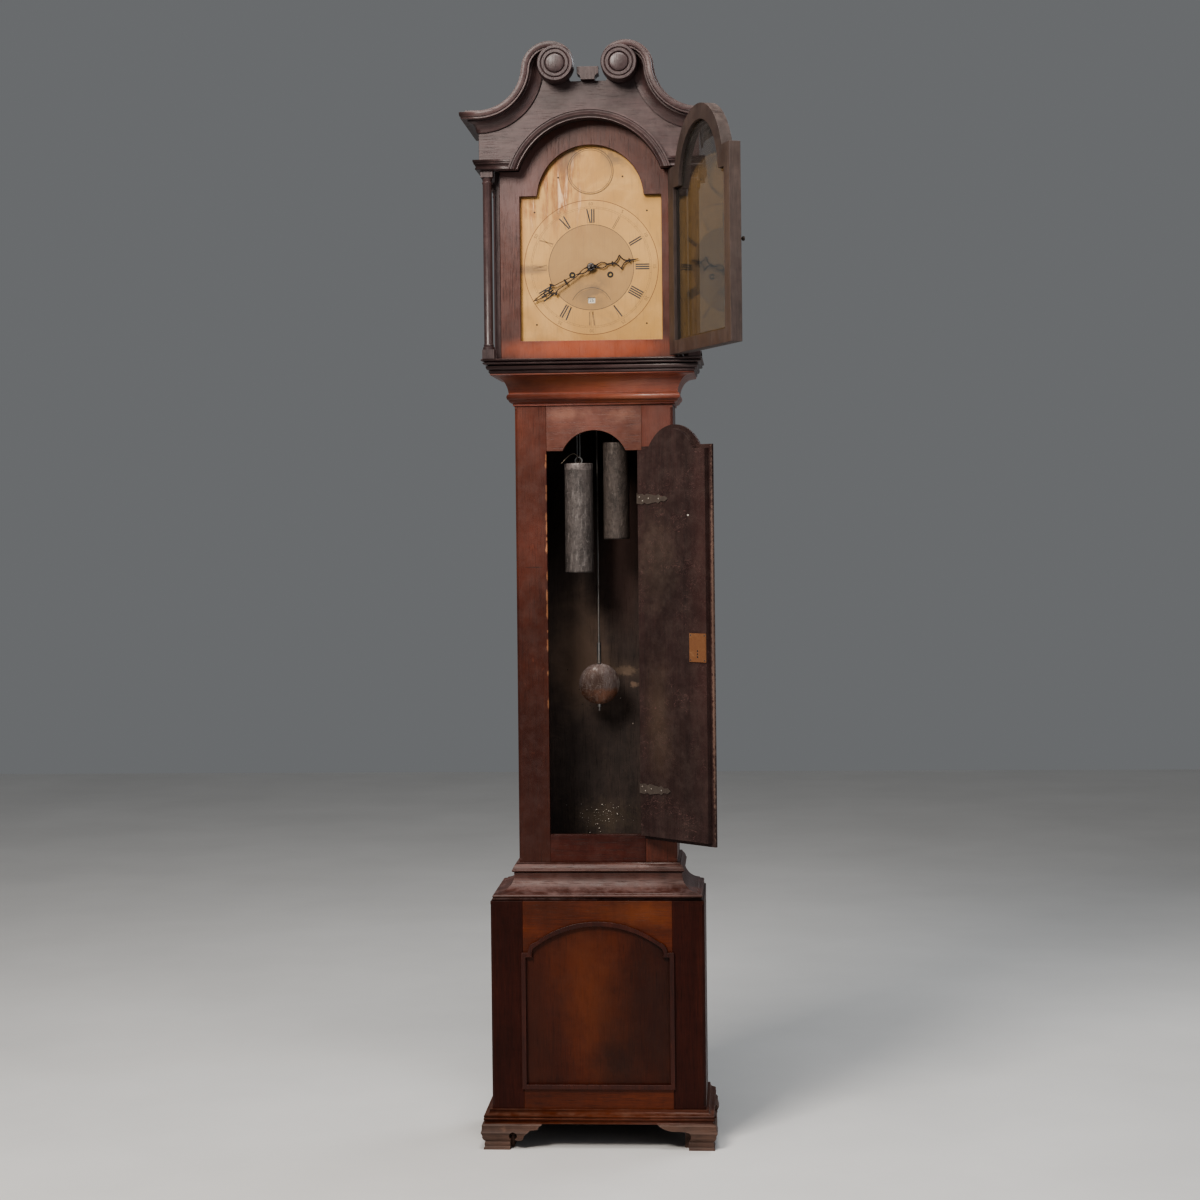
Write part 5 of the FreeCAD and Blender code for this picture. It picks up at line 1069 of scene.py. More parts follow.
class Growth:
    """A Geometry Nodes tree that is built in the script and then turned into a plain mesh."""

    def __init__(self, name: str, sizes: dict[str, float]) -> None:
        """Starts a tree with a geometry input and a float input for each size.

        Args:
            name: The tree's name.
            sizes: Default value by input name.
        """
        self.tree = bpy.data.node_groups.new(name, "GeometryNodeTree")
        face = self.tree.interface
        face.new_socket("Geometry", in_out="INPUT", socket_type="NodeSocketGeometry")
        self.keys = {}
        for label, value in sizes.items():
            socket = face.new_socket(label, in_out="INPUT", socket_type="NodeSocketFloat")
            socket.default_value = value
            self.keys[label] = socket.identifier
        face.new_socket("Geometry", in_out="OUTPUT", socket_type="NodeSocketGeometry")
        self.start = self.tree.nodes.new("NodeGroupInput")
        self.end = self.tree.nodes.new("NodeGroupOutput")

    def size(self, label: str) -> bpy.types.NodeSocket:
        """The socket that carries one of the named sizes."""
        return self.start.outputs[label]

    def node(self, kind: str, settings: dict | None = None, values: dict | None = None
             ) -> bpy.types.NodeSocket:
        """Adds one node, sets it and links it.

        Args:
            kind: The node's type.
            settings: Attributes that are set first.
            values: Values or sockets by input name or number.

        Returns:
            Its first output socket.
        """
        made = self.tree.nodes.new(kind)
        for key, value in (settings or {}).items():
            setattr(made, key, value)
        for key, value in (values or {}).items():
            socket = made.inputs[key]
            if isinstance(value, bpy.types.NodeSocket):
                self.tree.links.new(value, socket)
            else:
                socket.default_value = value
        return made.outputs[0]

    def finish(self, geometry: bpy.types.NodeSocket, finish: bpy.types.Material) -> None:
        """Ends the tree in Realize Instances and Set Material.

        Args:
            geometry: The socket that carries the finished geometry.
            finish: Its material.
        """
        real = self.node("GeometryNodeRealizeInstances", None, {"Geometry": geometry})
        dressed = self.node("GeometryNodeSetMaterial", None, {"Geometry": real, "Material": finish})
        self.tree.links.new(dressed, self.end.inputs["Geometry"])

    def grow(self, piece: bpy.types.Object, finish: bpy.types.Material, **sizes: float) -> bpy.types.Object:
        """Runs the tree on a piece and keeps the plain mesh.

        Args:
            piece: The points or the curve that the tree starts from.
            finish: The material of the result.
            **sizes: Values of the tree's inputs, by their names in small letters.

        Returns:
            The new piece.
        """
        modifier = piece.modifiers.new("growth", "NODES")
        modifier.node_group = self.tree
        for label, value in sizes.items():
            modifier[self.keys[label.replace("_", " ").capitalize()]] = value
        grown = flattened(piece)
        grown.data.materials.clear()
        grown.data.materials.append(finish)
        return grown


def points_piece(name: str, places: Sequence[Sequence[float]],
                 normals: Sequence[Sequence[float]] | None = None) -> bpy.types.Object:
    """A mesh of loose points, with a direction on each.

    Args:
        name: The piece's name.
        places: The points.
        normals: The direction at each point, or None for all to the front.

    Returns:
        The new object.
    """
    mesh = bpy.data.meshes.new(name)
    mesh.from_pydata([tuple(place) for place in places], [], [])
    facing = mesh.attributes.new("facing", "FLOAT_VECTOR", "POINT")
    for number, way in enumerate(normals or [FORWARD] * len(places)):
        facing.data[number].vector = way
    return linked(name, mesh)


def heads_on_points(finish: bpy.types.Material) -> Growth:
    """A tree that sets a low domed head on every point, such as a nail, pin or screw head.

    Args:
        finish: The heads' material.

    Returns:
        The tree.
    """
    growth = Growth("heads", {"Radius": 0.002, "Height": 0.0008})
    dome = growth.node("GeometryNodeMeshUVSphere", None, {"Segments": 16, "Rings": 8})
    across = growth.node("ShaderNodeCombineXYZ", None, {
        0: growth.size("Radius"), 1: growth.size("Radius"), 2: growth.size("Height")})
    facing = growth.node("GeometryNodeInputNamedAttribute", {"data_type": "FLOAT_VECTOR"},
                         {"Name": "facing"})
    turn = growth.node("FunctionNodeAlignRotationToVector", {"axis": "Z"}, {"Vector": facing})
    heads = growth.node("GeometryNodeInstanceOnPoints", None, {
        "Points": growth.start.outputs["Geometry"], "Instance": dome, "Rotation": turn, "Scale": across})
    growth.finish(heads, finish)
    return growth


def ticks_round_ring(finish: bpy.types.Material, count: int) -> Growth:
    """A tree that sets short marks round a circle in the dial's plane.

    Args:
        finish: The marks' material.
        count: How many marks there are.

    Returns:
        The tree.
    """
    growth = Growth(f"ticks_{count}", {"Radius": 0.128, "Length": 0.003, "Width": 0.0005, "Thick": 0.0002})
    circle = growth.node("GeometryNodeMeshCircle", None, {"Vertices": count, "Radius": growth.size("Radius")})
    stand = growth.node("GeometryNodeTransform", None,
                        {"Geometry": circle, "Rotation": (math.pi / 2, 0.0, 0.0)})
    size = growth.node("ShaderNodeCombineXYZ", None, {
        0: growth.size("Width"), 1: growth.size("Thick"), 2: growth.size("Length")})
    mark = growth.node("GeometryNodeMeshCube", None, {"Size": size})
    place = growth.node("GeometryNodeInputPosition")
    turn = growth.node("FunctionNodeAlignRotationToVector", {"axis": "Z", "pivot_axis": "Y"},
                       {"Vector": place})
    marks = growth.node("GeometryNodeInstanceOnPoints", None,
                        {"Points": stand, "Instance": mark, "Rotation": turn})
    growth.finish(marks, finish)
    return growth


def tube_on_curve(finish: bpy.types.Material) -> Growth:
    """A tree that draws a round wire along a curve.

    Args:
        finish: The wire's material.

    Returns:
        The tree.
    """
    growth = Growth("wire", {"Radius": 0.0005, "Sides": 8.0})
    sides = growth.node("FunctionNodeFloatToInt", None, {"Float": growth.size("Sides")})
    section = growth.node("GeometryNodeCurvePrimitiveCircle", None, {
        "Resolution": sides, "Radius": growth.size("Radius")})
    tube = growth.node("GeometryNodeCurveToMesh", None, {
        "Curve": growth.start.outputs["Geometry"], "Profile Curve": section, "Fill Caps": True})
    smooth = growth.node("GeometryNodeSetShadeSmooth", None, {"Geometry": tube, "Shade Smooth": True})
    growth.finish(smooth, finish)
    return growth


def curve_piece(name: str, places: Sequence[Sequence[float]], smooth: bool = True) -> bpy.types.Object:
    """An open curve led by points.

    Args:
        name: The curve's name.
        places: The points.
        smooth: Whether it runs smoothly, or straight from point to point.

    Returns:
        The new object.
    """
    curve = bpy.data.curves.new(name, "CURVE")
    curve.dimensions = "3D"
    curve.resolution_u = 6
    spline = curve.splines.new("NURBS" if smooth else "POLY")
    spline.points.add(len(places) - 1)
    for point, place in zip(spline.points, places):
        point.co = (*place, 1.0)
    if smooth:
        spline.order_u = 3
        spline.use_endpoint_u = True
    return linked(name, curve)


# Sub-assemblies.


@dataclass(frozen=True)
class Lamp:
    """One soft square area light."""

    name: str
    place: Point
    size: float
    power: float
    colour: Colour


@dataclass
class Studio:
    """A pale floor, soft lights and the camera at the photograph's angle."""

    distance: float = 4.9
    eye_height: float = 1.287
    yaw: float = math.radians(3.6)
    roll: float = math.radians(-0.6)
    frame_width: float = 2.484
    image: float = 1200.0
    horizon: float = 520.0
    centre_x: float = 594.5
    floor_size: float = 14.0
    target: Point = (0.0, -0.19, 0.0)
    lit: Point = (0.0, 0.0, 1.2)
    lamps: tuple[Lamp, ...] = (
        Lamp("key", (-1.3, -3.0, 3.4), size=1.2, power=150.0, colour=(1.0, 0.94, 0.87)),
        Lamp("fill", (2.6, -3.4, 1.5), size=2.2, power=14.0, colour=(0.9, 0.94, 1.0)),
        Lamp("rim", (1.6, 1.4, 3.0), size=1.4, power=26.0, colour=(0.9, 0.95, 1.0)),
        Lamp("top", (0.1, -1.5, 4.1), size=1.1, power=62.0, colour=(1.0, 0.96, 0.92)))

    def build(self) -> None:
        """Makes the floor, the lights, the world and the camera."""
        self._floor()
        self._world()
        for lamp in self.lamps:
            self._light(lamp)
        self._camera()
        bpy.context.scene.view_settings.look = "AgX - Medium High Contrast"

    def _floor(self) -> None:
        """A plain pale floor just under the feet."""
        half = self.floor_size / 2
        corners = [(-half, -half, 0), (half, -half, 0), (half, half, 0), (-half, half, 0)]
        g = Graph("studio_floor")
        cloud = g.noise(g.place(), 1.6, 5.0, 0.6)
        colour = g.ramp(cloud, ((0.3, (0.66, 0.655, 0.645)), (0.7, (0.72, 0.715, 0.705))))
        finish = g.finish({"Base Color": colour, "Roughness": 0.75 + (cloud - 0.5) * 0.1})
        floor = mesh_piece("studio_floor", corners, [(0, 1, 2, 3)], finish)

    def _world(self) -> None:
        """An even grey surround."""
        world = bpy.data.worlds.new("studio")
        world.use_nodes = True
        back = world.node_tree.nodes["Background"]
        back.inputs["Color"].default_value = (0.62, 0.64, 0.66, 1.0)
        back.inputs["Strength"].default_value = 0.24
        bpy.context.scene.world = world

    def _light(self, lamp: Lamp) -> None:
        """Makes one light and aims it at the middle of the clock.

        Args:
            lamp: The light's place, size, power and colour.
        """
        data = bpy.data.lights.new(lamp.name, "AREA")
        data.energy = lamp.power
        data.size = lamp.size
        data.color = lamp.colour
        made = linked(lamp.name, data)
        made.location = lamp.place
        aim = Vector(self.lit) - Vector(lamp.place)
        made.rotation_euler = aim.to_track_quat("-Z", "Y").to_euler()

    def _camera(self) -> None:
        """The camera, level, with a small shift down and a slight roll."""
        data = bpy.data.cameras.new("camera")
        data.sensor_width = 36.0
        data.lens = data.sensor_width * self.distance / self.frame_width
        data.shift_y = -(self.image / 2 - self.horizon) / self.image
        data.shift_x = -(self.centre_x - self.image / 2) / self.image
        camera = linked("camera", data)
        towards = Vector((math.sin(self.yaw), -math.cos(self.yaw), 0.0))
        camera.location = Vector(self.target) + towards * self.distance + Vector((0, 0, self.eye_height))
        turn = Matrix.Rotation(self.yaw, 4, "Z") @ Matrix.Rotation(math.pi / 2, 4, "X")
        camera.rotation_euler = (turn @ Matrix.Rotation(self.roll, 4, "Z")).to_euler()
        bpy.context.scene.camera = camera


@dataclass
class Woodwork:
    """All the boards and mouldings, each with softened edges and its own grain."""

    finishes: dict[str, bpy.types.Material]
    edges: dict[str, float] = field(default_factory=lambda: {
        "base_panel": 0.0005, "base_panel_moulding": 0.0008, "backboard": 0.0015, "hood_roof": 0.0012,
        "foot_front_left": 0.0016, "foot_front_right": 0.0016, "rear_feet": 0.0016, "columns": 0.0003,
        "rosettes": 0.0004, "swan_necks": 0.0005, "arch_moulding": 0.0005, "hood_base_frame": 0.0006})
    usual_edge: float = 0.0009

    def build(self) -> None:
        """Replaces each wooden node by its refined copy."""
        record = FRAME["record"]
        for body, nodes in record["behaviour"]["bodies"].items():
            for node in nodes:
                if node in WOODS:
                    width = self.edges.get(node, self.usual_edge)
                    refined(node, self.finishes[node], body, width)
        LOG.info("woodwork: %d boards and mouldings", len(WOODS))


@dataclass
class Metalwork:
    """Finishes for the metal nodes that keep their CAD shape."""

    finishes: dict[str, bpy.types.Material]
    own: dict[str, str] = field(default_factory=lambda: {
        "trunk_door_straps": "strap_iron", "trunk_hinge_plates": "strap_iron", "hood_door_knob": "strap_iron",
        "pendulum_bob": "bob_lead"})

    def build(self) -> None:
        """Gives every metal and glass node its own finish, or else the one named like its slot."""
        rows = [row for row in FRAME["record"]["subparts"] if row["node"] not in WOODS]
        for row in rows:
            name = self.own.get(row["node"], row["material_slot"])
            mesh = FRAME["nodes"][row["node"]].data
            mesh.materials.clear()
            mesh.materials.append(self.finishes[name])
        LOG.info("metalwork: %d nodes dressed", len(rows))


class Wax(Enum):
    """How well the wax in an engraved stroke has lasted."""

    FULL = "wax"
    WORN = "faint_wax"
    RED = "red_wax"


@dataclass(frozen=True)
class Stroke:
    """One straight engraved stroke of an hour figure, its ends given across the figure."""

    foot: float
    head: float
    wide: float
    wax: Wax


@dataclass(frozen=True)
class Ring:
    """One engraved circle or arc, its middle given from the dial's centre."""

    name: str
    radius: float
    wide: float
    finish: str = Wax.FULL.value
    across: float = 0.0
    up: float = 0.0
    first: float = 0.0
    last: float = 360.0
    on_boss: bool = False


RINGS = (
    Ring("chapter_circle", CHAPTER_OUTER, 0.0011, Wax.RED.value),
    Ring("inner_circle", CHAPTER_INNER, 0.0009),
    Ring("track_outer", 0.1248, 0.0004, Wax.WORN.value),
    Ring("track_inner", 0.1215, 0.0004, Wax.WORN.value),
    Ring("boss_circle_outer", 0.0476, 0.001, up=BOSS_UP),
    Ring("boss_circle_inner", 0.0438, 0.0007, up=BOSS_UP, on_boss=True),
    Ring("half_circle", 0.0424, 0.0009, up=-0.0842, first=-67.0, last=67.0),
    Ring("half_circle_inner", 0.0385, 0.0005, Wax.WORN.value, up=-0.0842, first=-60.0, last=60.0),
    Ring("winding_ring_left", 0.0046, 0.0038, "black", across=-0.0392, up=-0.0157),
    Ring("winding_ring_right", 0.0046, 0.0038, "black", across=0.0392, up=-0.0157))


@dataclass
class DialWork:
    """The engraving of the dial: hour figures, circles, marks, small figures and holes."""

    finishes: dict[str, bpy.types.Material]
    x: float = DIAL_CENTRE[0]
    z: float = DIAL_CENTRE[2]
    face: float = DIAL_CENTRE[1]
    boss_face: float = -0.2113
    ring_face: float = -0.2082
    proud: float = 0.00012
    sunk: float = 0.00008
    figure_foot: float = 0.092
    figure_head: float = 0.12
    thick: float = 0.0028
    thin: float = 0.0008
    pitch: float = 0.0046
    spread: float = 0.0034
    serif: float = 0.0042
    minute_radius: float = 0.1305
    minute_size: float = 0.0098
    date_radius: float = 0.068
    date_size: float = 0.0098
    day_shown: int = 26
    arc_step: float = 3.75
    tick_radius: float = 0.12315
    tick_long: float = 0.0033
    tick_wide: float = 0.0005
    hole_radius: float = 0.0019
    holes: tuple[tuple[float, float], ...] = ((0.0665, 0.186), (0.116, 0.115), (0.1135, -0.117))
    hours: tuple[str, ...] = ("I", "II", "III", "IIII", "V", "VI", "VII", "VIII", "IX", "X", "XI", "XII")
    worn_hours: tuple[int, ...] = (6, 9, 10)

    def build(self) -> None:
        """Makes and attaches every engraved piece."""
        slots = {Wax.FULL: [], Wax.WORN: [], Wax.RED: []}
        for hour in range(1, 13):
            for stroke in self._strokes(hour):
                slots[stroke.wax].append(self._bar(stroke, hour))
        slots[Wax.WORN] += [self._serif(hour) for hour in range(1, 13)]
        for wax, outlines in slots.items():
            if outlines:
                self._attach(self._engraved("hour_figures_" + wax.value, outlines, self.finishes[wax.value]))
        self._circles()
        self._ticks()
        self._small_figures()
        self._holes()
        LOG.info("dial: %d hour strokes, circles, ticks and small figures",
                 sum(len(outlines) for outlines in slots.values()))

    def _attach(self, piece: bpy.types.Object, body: str = "case") -> None:
        """Rides a piece on the body that carries the dial, unless another one is named."""
        attach(piece, body)

    def _strokes(self, hour: int) -> list[Stroke]:
        """The strokes of one hour figure, side by side.

        Args:
            hour: The hour, from 1 to 12.

        Returns:
            The strokes, from left to right.
        """
        strong = Wax.WORN if hour in self.worn_hours else Wax.FULL
        crossed = self.spread * 2 + self.pitch * 0.4
        wide = {"I": self.pitch, "V": crossed, "X": crossed}
        letters = self.hours[hour - 1]
        place = -sum(wide[letter] for letter in letters) / 2
        strokes = []
        for letter in letters:
            middle = place + wide[letter] / 2
            place += wide[letter]
            if letter == "I" and hour == 1:
                strokes += [Stroke(middle + side, middle + side, self.thin, Wax.FULL)
                            for side in (-self.thick / 2, self.thick / 2)]
            elif letter == "I":
                strokes.append(Stroke(middle, middle, self.thick, strong))
            else:
                foot = 0.0 if letter == "V" else self.spread
                strokes.append(Stroke(middle + foot, middle - self.spread, self.thick, strong))
                strokes.append(Stroke(middle - foot, middle + self.spread, self.thin, Wax.WORN))
        return strokes

    def _spot(self, across: float, reach: float, hour: float) -> tuple[float, float]:
        """A place on the dial from a figure's own directions.

        Args:
            across: Distance across the figure, clockwise.
            reach: Distance from the dial's centre.
            hour: The hour that the figure stands at.

        Returns:
            The x and z of the place.
        """
        angle = math.radians(30 * hour)
        return (self.x + math.sin(angle) * reach + math.cos(angle) * across,
                self.z + math.cos(angle) * reach - math.sin(angle) * across)

    def _bar(self, stroke: Stroke, hour: int) -> Outline:
        """The outline of one stroke.

        Args:
            stroke: The stroke.
            hour: The hour that its figure stands at.

        Returns:
            Its four corners.
        """
        half = stroke.wide / 2
        ends = ((stroke.foot - half, self.figure_foot), (stroke.foot + half, self.figure_foot),
                (stroke.head + half, self.figure_head), (stroke.head - half, self.figure_head))
        return [self._spot(across, reach, hour) for across, reach in ends]

    def _serif(self, hour: int) -> Outline:
        """The outline of the thin line along the feet of one figure.

        Args:
            hour: The hour that the figure stands at.

        Returns:
            Its four corners.
        """
        half = self.serif / 2 * len(self.hours[hour - 1])
        ends = ((-half, self.figure_foot - self.thin), (half, self.figure_foot - self.thin),
                (half, self.figure_foot), (-half, self.figure_foot))
        return [self._spot(across, reach, hour) for across, reach in ends]

    def _engraved(self, name: str, outlines: Sequence[Outline], finish: bpy.types.Material,
                  face: float | None = None) -> bpy.types.Object:
        """Thin slabs of wax from four-cornered outlines.

        Args:
            name: The piece's name.
            outlines: Outlines as x and z pairs.
            finish: The wax.
            face: The y of the metal's face, or None for the dial's.

        Returns:
            The new piece.
        """
        level = self.face if face is None else face
        corners, faces = [], []
        for outline in outlines:
            start = len(corners)
            corners += [(x, level - self.proud, z) for x, z in outline]
            corners += [(x, level + self.sunk, z) for x, z in outline]
            faces += [tuple(start + n for n in side) for side in SLAB_SIDES]
        return mesh_piece(name, corners, faces, finish)

    def _arc(self, centre: tuple[float, float], radius: float, wide: float, first: float = 0.0,
             last: float = 360.0) -> list[Outline]:
        """Short outlines that make an arc of a circle.

        Args:
            centre: The x and z of its centre.
            radius: Its radius.
            wide: The width of the line.
            first: Where it starts, in degrees clockwise from the top.
            last: Where it ends.

        Returns:
            The outlines.
        """
        count = max(12, round((last - first) / self.arc_step))
        turns = [math.radians(first + (last - first) * n / count) for n in range(count + 1)]
        inner, outer = radius - wide / 2, radius + wide / 2
        rows = [[(centre[0] + math.sin(turn) * reach, centre[1] + math.cos(turn) * reach)
                 for reach in (inner, outer)] for turn in turns]
        return [[a[0], a[1], b[1], b[0]] for a, b in zip(rows, rows[1:])]

    def _circles(self) -> None:
        """The circles and arcs of the dial."""
        for ring in RINGS:
            outlines = self._arc((self.x + ring.across, self.z + ring.up), ring.radius, ring.wide, ring.first,
                                 ring.last)
            face = self.boss_face if ring.on_boss else self.face
            self._attach(self._engraved(ring.name, outlines, self.finishes[ring.finish], face))

    def _ticks(self) -> None:
        """The sixty minute marks."""
        wax = self.finishes["faint_wax"]
        grown = ticks_round_ring(wax, 60).grow(points_piece("minute_marks", [(0, 0, 0)]), wax,
                                               radius=self.tick_radius, length=self.tick_long,
                                               width=self.tick_wide, thick=0.0002)
        grown.data.transform(Matrix.Translation((self.x, self.face, self.z)))
        self._attach(grown)

    def _figure(self, words: str, size: float, place: tuple[float, float], turn: float, level: float,
                finish: bpy.types.Material) -> bpy.types.Object:
        """One small engraved number.

        Args:
            words: The number.
            size: Its height.
            place: The x and z of its middle.
            turn: How far it is turned clockwise, in radians.
            level: The y of the metal's face.
            finish: The wax.

        Returns:
            The number as a mesh at its place.
        """
        curve = bpy.data.curves.new("figure_" + words, "FONT")
        curve.body = words
        curve.size = size
        curve.align_x = "CENTER"
        curve.align_y = "CENTER"
        curve.extrude = self.proud * 0.8
        curve.resolution_u = 3
        piece = flattened(linked("figure_" + words, curve))
        piece.data.materials.clear()
        piece.data.materials.append(finish)
        stand = Matrix.Rotation(turn, 4, "Y") @ Matrix.Rotation(math.pi / 2, 4, "X")
        piece.data.transform(Matrix.Translation((place[0], level, place[1])) @ stand)
        return piece

    def _small_figures(self) -> None:
        """The minute numbers outside the track and the day numbers on the ring."""
        worn = self.finishes["faint_wax"]
        minutes = [self._figure(str(5 * n), self.minute_size, self._spot(0.0, self.minute_radius, n),
                                math.radians(30 * n), self.face, worn) for n in range(1, 13)]
        self._attach(joined("minute_figures", minutes))
        days = []
        for day in range(1, 32):
            angle = 2 * math.pi * (day - self.day_shown) / 31
            place = (self.x - math.sin(angle) * self.date_radius,
                     self.z - math.cos(angle) * self.date_radius)
            days.append(self._figure(str(day), self.date_size, place, angle, self.ring_face,
                                     self.finishes["wax"]))
        self._attach(joined("day_figures", days), "calendar_ring")

    def _holes(self) -> None:
        """The small dark holes in the dial's corners and arch."""
        places = [(self.x + side * across, self.face, self.z + up) for across, up in self.holes
                  for side in (-1, 1)]
        black = self.finishes["black"]
        self._attach(heads_on_points(black).grow(points_piece("dial_holes", places), black,
                                                 radius=self.hole_radius, height=0.00018))


@dataclass
class HandWork:
    """The round knurled collet that holds the hands, with its pin."""

    finishes: dict[str, bpy.types.Material]
    front: float = -0.219
    z: float = DIAL_CENTRE[2]
    radius: float = 0.0085
    dots: int = 14
    pin: tuple[float, float] = (0.0052, 0.0016)
    steps: tuple[tuple[float, float], ...] = (
        (0.0, 0.0042), (0.24, 0.0042), (0.3, 0.0036), (0.32, 0.0022), (0.62, 0.0019), (0.86, 0.0012),
        (1.0, 0.0006), (1.0, -0.0003), (0.0, -0.0003))

    def build(self) -> None:
        """Makes the collet, its beads and its pin."""
        dark = self.finishes["blued_steel"]
        profile = [(self.radius * share, self.front - rise) for share, rise in self.steps]
        points, faces = turned_profile(profile, (0.0, 0.0, self.z), 40)
        collet = rounded(mesh_piece("hand_collet", points, faces, dark), 0.0002)
        attach(collet, "minute_hand")
        turns = [2 * math.pi * n / self.dots for n in range(self.dots)]
        reach = self.radius * 0.74
        places = [(math.cos(turn) * reach, self.front - 0.0015, self.z + math.sin(turn) * reach)
                  for turn in turns]
        bead = self.finishes["steel"]
        beads = heads_on_points(bead).grow(points_piece("collet_beads", places), bead, radius=0.0008,
                                           height=0.0006)
        attach(beads, "minute_hand")
        across, up = self.pin
        pin = curve_piece("hand_pin", [(across * n, self.front - 0.0032, self.z + up * n)
                                       for n in (-1, 0, 1)], smooth=False)
        attach(tube_on_curve(bead).grow(pin, bead, radius=0.0006), "minute_hand")
        LOG.info("hands: collet with %d beads and its pin", self.dots)


@dataclass
class LeadWeight:
    """The rough cast skin of one lead weight, its rim band and its worn bottom edge."""

    name: str
    finish: bpy.types.Material
    x: float
    y: float
    low: float
    high: float
    radius: float
    scar: float
    sides: int = 88
    rows: int = 110
    cover: float = 0.0004
    rough: float = 0.0015
    rim: float = 0.014
    rim_proud: float = 0.0005
    scar_proud: float = 0.0007
    scar_wide: float = 0.0013
    scar_sway: float = 0.0024
    scar_reach: float = 0.05
    worn: float = 0.0011

    def build(self) -> None:
        """Makes the skin and rides it on its weight."""
        corners = [self._skin(2 * math.pi * side / self.sides, row / self.rows)
                   for row in range(self.rows + 1) for side in range(self.sides)]
        faces = ring_faces(self.rows, self.sides)
        faces += self._end(corners, 0, self.low - 0.0006)
        faces += self._end(corners, self.rows * self.sides, self.high + 0.0007)
        piece = mesh_piece(self.name + "_casting", corners, faces, self.finish)
        piece.data.shade_smooth()
        attach(piece, self.name)
        LOG.info("weight: %s casting", self.name)

    def _skin(self, angle: float, share: float) -> Point:
        """One point of the rough side.

        Args:
            angle: Where it is round the weight.
            share: How high it is, from 0 at the bottom to 1.

        Returns:
            The point.
        """
        z = self.low + (self.high - self.low) * share
        way = Vector((math.cos(angle), math.sin(angle), 0.0))
        spot = way * self.radius + Vector((self.x, self.y, z))
        lump = noise.fractal(spot * 95.0, 1.0, 2.1, 5) * 0.5 + 0.5
        broad = noise.noise(spot * 24.0) * 0.5 + 0.5
        reach = self.radius + self.cover + self.rough * (0.62 * lump + 0.5 * broad)
        if z > self.high - self.rim:
            reach += self.rim_proud
        across = spot.x - self.x - self.scar - self.scar_sway * math.sin((z - self.low) * 260.0)
        if way.y < 0 and abs(z - (self.low + self.high) / 2 + 0.03) < self.scar_reach:
            reach += self.scar_proud * math.exp(-((across / self.scar_wide) ** 2))
        edge = 0.0 if 0 < share < 1 else self.worn
        droop = self.worn * noise.noise(Vector((angle * 1.7, 0.0, 4.0))) if share == 0 else 0.0
        return (self.x + way.x * (reach - edge), self.y + way.y * (reach - edge), z + droop)

    def _end(self, corners: list[Point], start: int, level: float) -> list[tuple[int, ...]]:
        """Closes one end with a slightly domed disc.

        Args:
            corners: The points so far; one is added.
            start: The first point of the end's ring.
            level: The height of the disc's middle.

        Returns:
            The disc's faces.
        """
        middle = len(corners)
        corners.append((self.x, self.y, level))
        return [(start + side, start + (side + 1) % self.sides, middle) for side in range(self.sides)]


@dataclass
class PendulumBob:
    """The cast lens of the pendulum, with its small dents."""

    finish: bpy.types.Material
    centre: Point = (0.0, -0.0835, 0.9408)
    radius: float = 0.0429
    half: float = 0.0129
    edge: float = 0.0016
    fullness: float = 3.4
    rings: int = 26
    sides: int = 112
    dents: tuple[tuple[float, float], ...] = ((0.00045, 90.0), (0.0002, 400.0))

    def build(self) -> None:
        """Makes the bob and hangs it on the pendulum in place of the plain one."""
        steps = [math.sin(math.pi / 2 * ring / self.rings) for ring in range(self.rings + 1)]
        rise = [self.edge + (self.half - self.edge) * (1 - step ** self.fullness) for step in steps]
        profile = [(self.radius * step, -high) for step, high in zip(steps, rise)]
        profile += [(self.radius * step, high) for step, high in reversed(list(zip(steps, rise)))]
        points, faces = turned_profile(profile, self.centre, self.sides)
        piece = mesh_piece("pendulum_bob_casting", [self._dented(point) for point in points], faces,
                           self.finish)
        piece.data.shade_smooth()
        attach(piece, "pendulum")
        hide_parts("pendulum_bob")
        LOG.info("bob: %d rings", self.rings)

    def _dented(self, point: Point) -> Point:
        """A point of the bob, pushed in a little by the dents of its casting.

        Args:
            point: The point on the smooth lens.

        Returns:
            The point on the casting.
        """
        spot = Vector(point)
        away = (spot - Vector(self.centre)) / self.radius
        depth = sum(deep * (0.5 + 0.5 * noise.noise(spot * scale)) for deep, scale in self.dents)
        share = min(1.0, abs(away.y) * 4.0)
        return (point[0], point[1] - math.copysign(depth * share, away.y), point[2])


